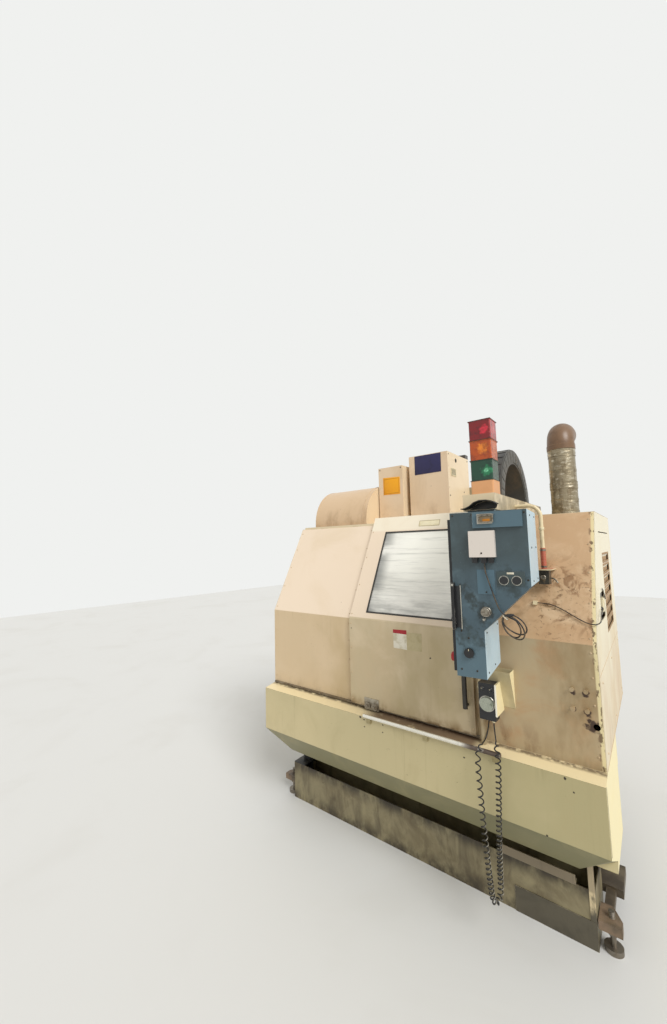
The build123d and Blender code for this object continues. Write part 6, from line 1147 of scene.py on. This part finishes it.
class MACHINE_OT_pendant_pieces(bpy.types.Operator):
    """Small metal and plastic parts on the pendant, and the rubber flap over its swivel, with a black plate as
    painted shadow under its curl
    """

    bl_idname = "machine.pendant_pieces"
    bl_label = "Pendant pieces"

    def execute(self, context):
        face = CASE_FRONT
        holder = [
            ring_frame((0.018, 1.946), (0.081, 1.981), 0.006, 0.0225, 0.0268, at=face),
            block((0.0150, 1.9785, 0.0225), (0.0835, 1.9840, 0.0290), 0.001, face),
            block((0.022, 1.950, 0.0226), (0.077, 1.978, 0.0236), 0.0002, face, 1),
            block((0.036, 1.952, 0.0236), (0.066, 1.963, 0.0246), 0.0003, face, 2),
        ]
        piece("label_holder", "pendant", "bright_steel", holder, "zinc_screws", "brown_card", "sign_yellow_line")
        right = PENDANT @ right_plane(0.209, 0, 0)
        low_right = PENDANT @ right_plane(0.014, 0, 0)
        spots = (
            (0.199, 1.984), (-0.0155, 1.986), (-0.101, 1.986), (-0.0913, 1.304), (-0.0254, 1.3035), (-0.0852, 1.470),
            (0.199, 1.700), (-0.055, 1.441),
        )
        heads = [screw(x, z, 0.0042, face) for x, z in spots]
        heads += [screw(y, z, 0.0042, right) for y in (-0.083, 0.075) for z in (1.976, 1.834, 1.690)]
        spots = ((-0.134, 1.463), (-0.132, 1.291), (0.0035, 1.294), (0.10, 1.463))
        heads += [screw(y, z, 0.0042, low_right) for y, z in spots]
        heads.append(screw(0.0242, 1.8145, 0.0040, face, 0.027))
        heads += [screw(0.0315, z, 0.0036, face, 0.002) for z in (1.7330, 1.6450)]
        piece("pendant_screws", "pendant", "screw_steel", heads, "dark_screws")
        label = plate([(0.118, 1.7235), (0.146, 1.7235), (0.146, 1.7315), (0.118, 1.7315)], 0.003, 0.0036, 0.0001,
            face)
        piece("power_label", "pendant", "cream_plastic", [label], "label_sheet")
        bezel = [(0.0172, 0.0090), (0.0180, 0.0118), (0.0199, 0.0118), (0.0210, 0.0098), (0.0210, 0.0030),
            (0.0202, 0.0030), (0.0172, 0.0090)]
        chrome = [turned(bezel, face @ moved(x, 1.698), 32) for x in (0.106, 0.156)]
        socket = [(0, 0.0221), (0.0098, 0.0221), (0.0108, 0.0223), (0.0172, 0.0223), (0.0187, 0.0208),
            (0.0187, 0.0160), (0.0181, 0.0150), (0.0187, 0.0140), (0.0187, 0.0020), (0.0215, 0.0), (0, 0.0)]
        chrome.append(turned(socket, face @ moved(0.025, 1.560), 32, 1))
        stud = [(0, 0.011), (0.004, 0.011), (0.0065, 0.008), (0.0065, 0.002), (0.008, 0), (0, 0)]
        chrome.append(turned(stud, face @ moved(0.014, 1.527)))
        chrome.append(block((-0.0825, 1.478, 0), (-0.0775, 1.672, 0.0065), 0.0015, face))
        backing = block((-0.113, 1.484, -0.0005), (-0.0825, 1.668, 0.004), 0.001, face)
        piece("handle_plate", "pendant", "black_plastic", [backing], "moulded_black_plastic")
        chrome.append(turned([(0, 0.0303), (0.005, 0.0302), (0.006, 0.0297), (0, 0.0297)],
            face @ moved(-0.109, 1.674)))
        piece("pendant_bright_parts", "pendant", "bright_steel", chrome, "chrome_plate", "zinc_screws")
        knob = [block((-0.0562, 1.3880, 0.016), (-0.0538, 1.3960, 0.0172), 0.0004, face)]
        for n in range(16):
            rib = face @ moved(-0.055, 1.378) @ Matrix.Rotation(math.tau * n / 16, 4, "Z")
            knob.append(block((0.0165, -0.0012, 0.001), (0.0212, 0.0012, 0.014), 0.0006, rib, 1))
        piece("knob_grip", "pendant", "black_plastic", knob, "cream_moulding", "moulded_black_plastic")
        screen = PENDANT @ axes((0, -1, 0), (0, 0, 1), (-0.124, 0, 0))
        glass = block((-0.1035, 1.7165, -0.0002), (0.1445, 1.9285, 0.0024), 0.0008, screen)
        piece("screen_glass", "pendant", "window_glass", [glass], "dark_screen")
        curl = [(0.580, 2.0195), (0.600, 2.0215), (0.622, 2.030), (0.642, 2.046), (0.668, 2.054), (0.700, 2.053),
            (0.722, 2.047), (0.738, 2.036)]
        front = front_plane(0, -1.0605, 0)
        # The black plate under the curl stands for the shadow beneath the flap: painted shadow
        shadow_plate = [(0.604, 2.0175), (0.728, 2.0175), (0.735, 2.035), (0.720, 2.045), (0.700, 2.051), (0.668, 2.052),
            (0.644, 2.044), (0.624, 2.030)]
        flap = [bent_sheet(curl, 0.055, 0.0035, front), plate(shadow_plate, 0.0, 0.0035, 0.0006, front)]
        piece("swivel_flap_and_shadow_plate", "machine", "black_plastic", flap, "door_gasket_rubber")
        return {"FINISHED"}


class MACHINE_OT_handwheel_pieces(bpy.types.Operator):
    """The handwheel's scale and knobs, its gland, and the fittings on the pipes and the valve"""

    bl_idname = "machine.handwheel_pieces"
    bl_label = "Handwheel and pipe pieces"

    def execute(self, context):
        face = front_plane(0, -0.90193, 0)
        dial = face @ moved(0.582, 1.068)
        scale = [turned([(0.0332, 0), (0.0332, 0.0016), (0.0378, 0.0016), (0.0390, 0), (0.0332, 0)], dial, 48)]
        for n in range(50):  # plain ticks, every fifth one longer
            inner = 0.0342 if n % 5 else 0.0334
            tick = dial @ Matrix.Rotation(math.tau * n / 50, 4, "Z")
            scale.append(block((inner, -0.0003, 0.0015), (0.0374, 0.0003, 0.0019), 0.0001, tick, 1))
        knob = [(0, 0.0125), (0.0065, 0.0125), (0.0082, 0.0108), (0.0090, 0.0020), (0.0110, 0), (0, 0)]
        for x in (0.562, 0.602):
            scale.append(turned(knob, face @ moved(x, 1.138), skin=1))
            scale.append(block((x - 0.0007, 1.1385, 0.0124), (x + 0.0007, 1.1445, 0.0131), 0.0002, face, 2))
        gland = [(0, -0.018), (0.0050, -0.018), (0.0085, -0.012), (0.0085, -0.004), (0.0110, -0.004), (0.0110, 0),
            (0, 0)]
        scale.append(turned(gland, moved(0.600, -0.870, 0.990), skin=2))
        piece("handwheel_scale", "machine", "zinc_steel", scale, "chrome_plate", "moulded_black_plastic",
            "cream_moulding")
        sleeve = [(0.0128, 1.086), (0.0165, 1.089), (0.0165, 1.112), (0.0185, 1.113), (0.0185, 1.124),
            (0.0165, 1.125), (0.0165, 1.146), (0.0128, 1.149), (0.0128, 1.086)]
        fittings = [turned(sleeve, moved(0.531, -0.82493))]
        hose, radius = moved(*HOSE_AXIS), 0.0126
        for z in (1.728, 1.812):
            clamp = [(radius, z), (0.0146, z + 0.001), (0.0146, z + 0.009), (radius, z + 0.010), (radius, z)]
            fittings.append(turned(clamp, hose, skin=1))
        for z in (1.744, 1.752, 1.760, 1.768, 1.776, 1.784, 1.792, 1.800):
            rib = [(radius, z), (0.0136, z + 0.002), (radius, z + 0.004), (radius, z)]
            fittings.append(turned(rib, hose, skin=2))
        lever = [(0.861, -0.700, 1.676), (0.876, -0.704, 1.678), (0.892, -0.712, 1.668), (0.900, -0.716, 1.655)]
        fittings.append(swept(lever, 0.007, skin=1))
        nut = [(0, -0.002), (0.010, -0.002), (0.012, 0.002), (0.012, 0.010), (0.009, 0.013), (0, 0.013)]
        fittings.append(turned(nut, front_plane(0.838, -0.71493, 1.681), skin=1))
        collar = [(0.0098, 2.020), (0.0135, 2.022), (0.0135, 2.034), (0.0098, 2.036), (0.0098, 2.020)]
        fittings.append(turned(collar, moved(*HOSE_AXIS, -0.10)))
        piece("pipe_fittings", "machine", "pipe_paint", fittings, "cream_moulding", "zinc_screws", "moulded_red_hose")
        return {"FINISHED"}


class MACHINE_OT_cords(bpy.types.Operator):
    """The curly cord of the handwheel, the cable along the front and the lead on the pendant"""

    bl_idname = "machine.cords"
    bl_label = "Cords"

    def execute(self, context):
        looks = settings()
        line = followed([Vector(p) for p in CURLY_ROUTE])
        points = curled(line, looks.curl, 0.27, run_length(line) - 0.10)  # straight for 270 mm, and at its last 100
        curly = spline_curve("curly_cord_wire", points, looks.wire)
        curly.data.resolution_u = 2
        curly.data.bevel_resolution = 2
        side = spline_curve("front_cable", SIDE_ROUTE, looks.side_wire)
        turned_points = [PENDANT @ Vector(p) for p in [*LEAD_DOWN, *hank_loops()]]
        lead = spline_curve("pendant_lead", turned_points, looks.lead_wire)
        for cord, body, old in ((curly, "machine", "curly_cord"), (side, "machine", "side_cable"),
            (lead, "pendant", "pendant_cable")):
            cord.data.materials.append(finish("extruded_rubber_cord"))
            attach(cord, body)
            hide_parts(old)
        tie = axes((1, 0, 0), (0, 1, 0), PENDANT @ Vector((0.104, -0.189, 1.545)))
        tie = tie @ Matrix.Rotation(SWIVEL_TURN, 4, "Z") @ Matrix.Rotation(math.radians(42), 4, "Y")
        band = [(0.0115, -0.002), (0.0135, -0.002), (0.0135, 0.002), (0.0115, 0.002), (0.0115, -0.002)]
        piece("hank_tie", "pendant", "cream_plastic", [turned(band, tie)], "white_nylon_tie")
        end, before = turned_points[-1], turned_points[-2]
        way = (end - before).to_track_quat("Z", "Y").to_matrix().to_4x4()
        plug = [(0, -0.008), (0.0034, -0.008), (0.0048, -0.002), (0.0062, 0.001), (0.0062, 0.018), (0.0048, 0.020),
            (0.0048, 0.026), (0, 0.026)]
        plug = turned(plug, Matrix.Translation(end) @ way)
        connector = piece("lead_connector", "pendant", "black_plastic", [plug], "moulded_black_plastic")
        lengths = [round(run_length(followed(each)), 2)
            for each in (points, [Vector(p) for p in SIDE_ROUTE], turned_points)]
        return {"FINISHED"}


STEPS = [
    MACHINE_OT_stage, MACHINE_OT_panel_finishes, MACHINE_OT_metal_finishes, MACHINE_OT_plastic_finishes,
    MACHINE_OT_door_pieces, MACHINE_OT_wall_pieces, MACHINE_OT_roof_pieces, MACHINE_OT_pendant_pieces,
    MACHINE_OT_handwheel_pieces, MACHINE_OT_cords,
]


class MACHINE_PT_sidebar(bpy.types.Panel):
    """The sizes and colours, and a button for each group of pieces"""

    bl_idname = "MACHINE_PT_sidebar"
    bl_label = "Machining centre"
    bl_space_type = "VIEW_3D"
    bl_region_type = "UI"
    bl_category = "Machine"

    def draw(self, context):
        for name in MachineLooks.__annotations__:
            self.layout.prop(settings(), name)
        for step in STEPS:
            self.layout.operator(step.bl_idname)


CLASSES = [MachineLooks, *STEPS, MACHINE_PT_sidebar]


def register():
    for each in CLASSES:
        bpy.utils.register_class(each)
    bpy.types.Scene.machine_looks = PointerProperty(type=MachineLooks)


def unregister():
    del bpy.types.Scene.machine_looks
    for each in reversed(CLASSES):
        bpy.utils.unregister_class(each)


def main():
    register()
    for step in STEPS:
        group, name = step.bl_idname.split(".")
        getattr(getattr(bpy.ops, group), name)()
    plain = sorted(set(NODES) - DRESSED)
    if plain:
        raise RuntimeError(f"no finish is given to {plain}")


if __name__ == "__main__":
    main()
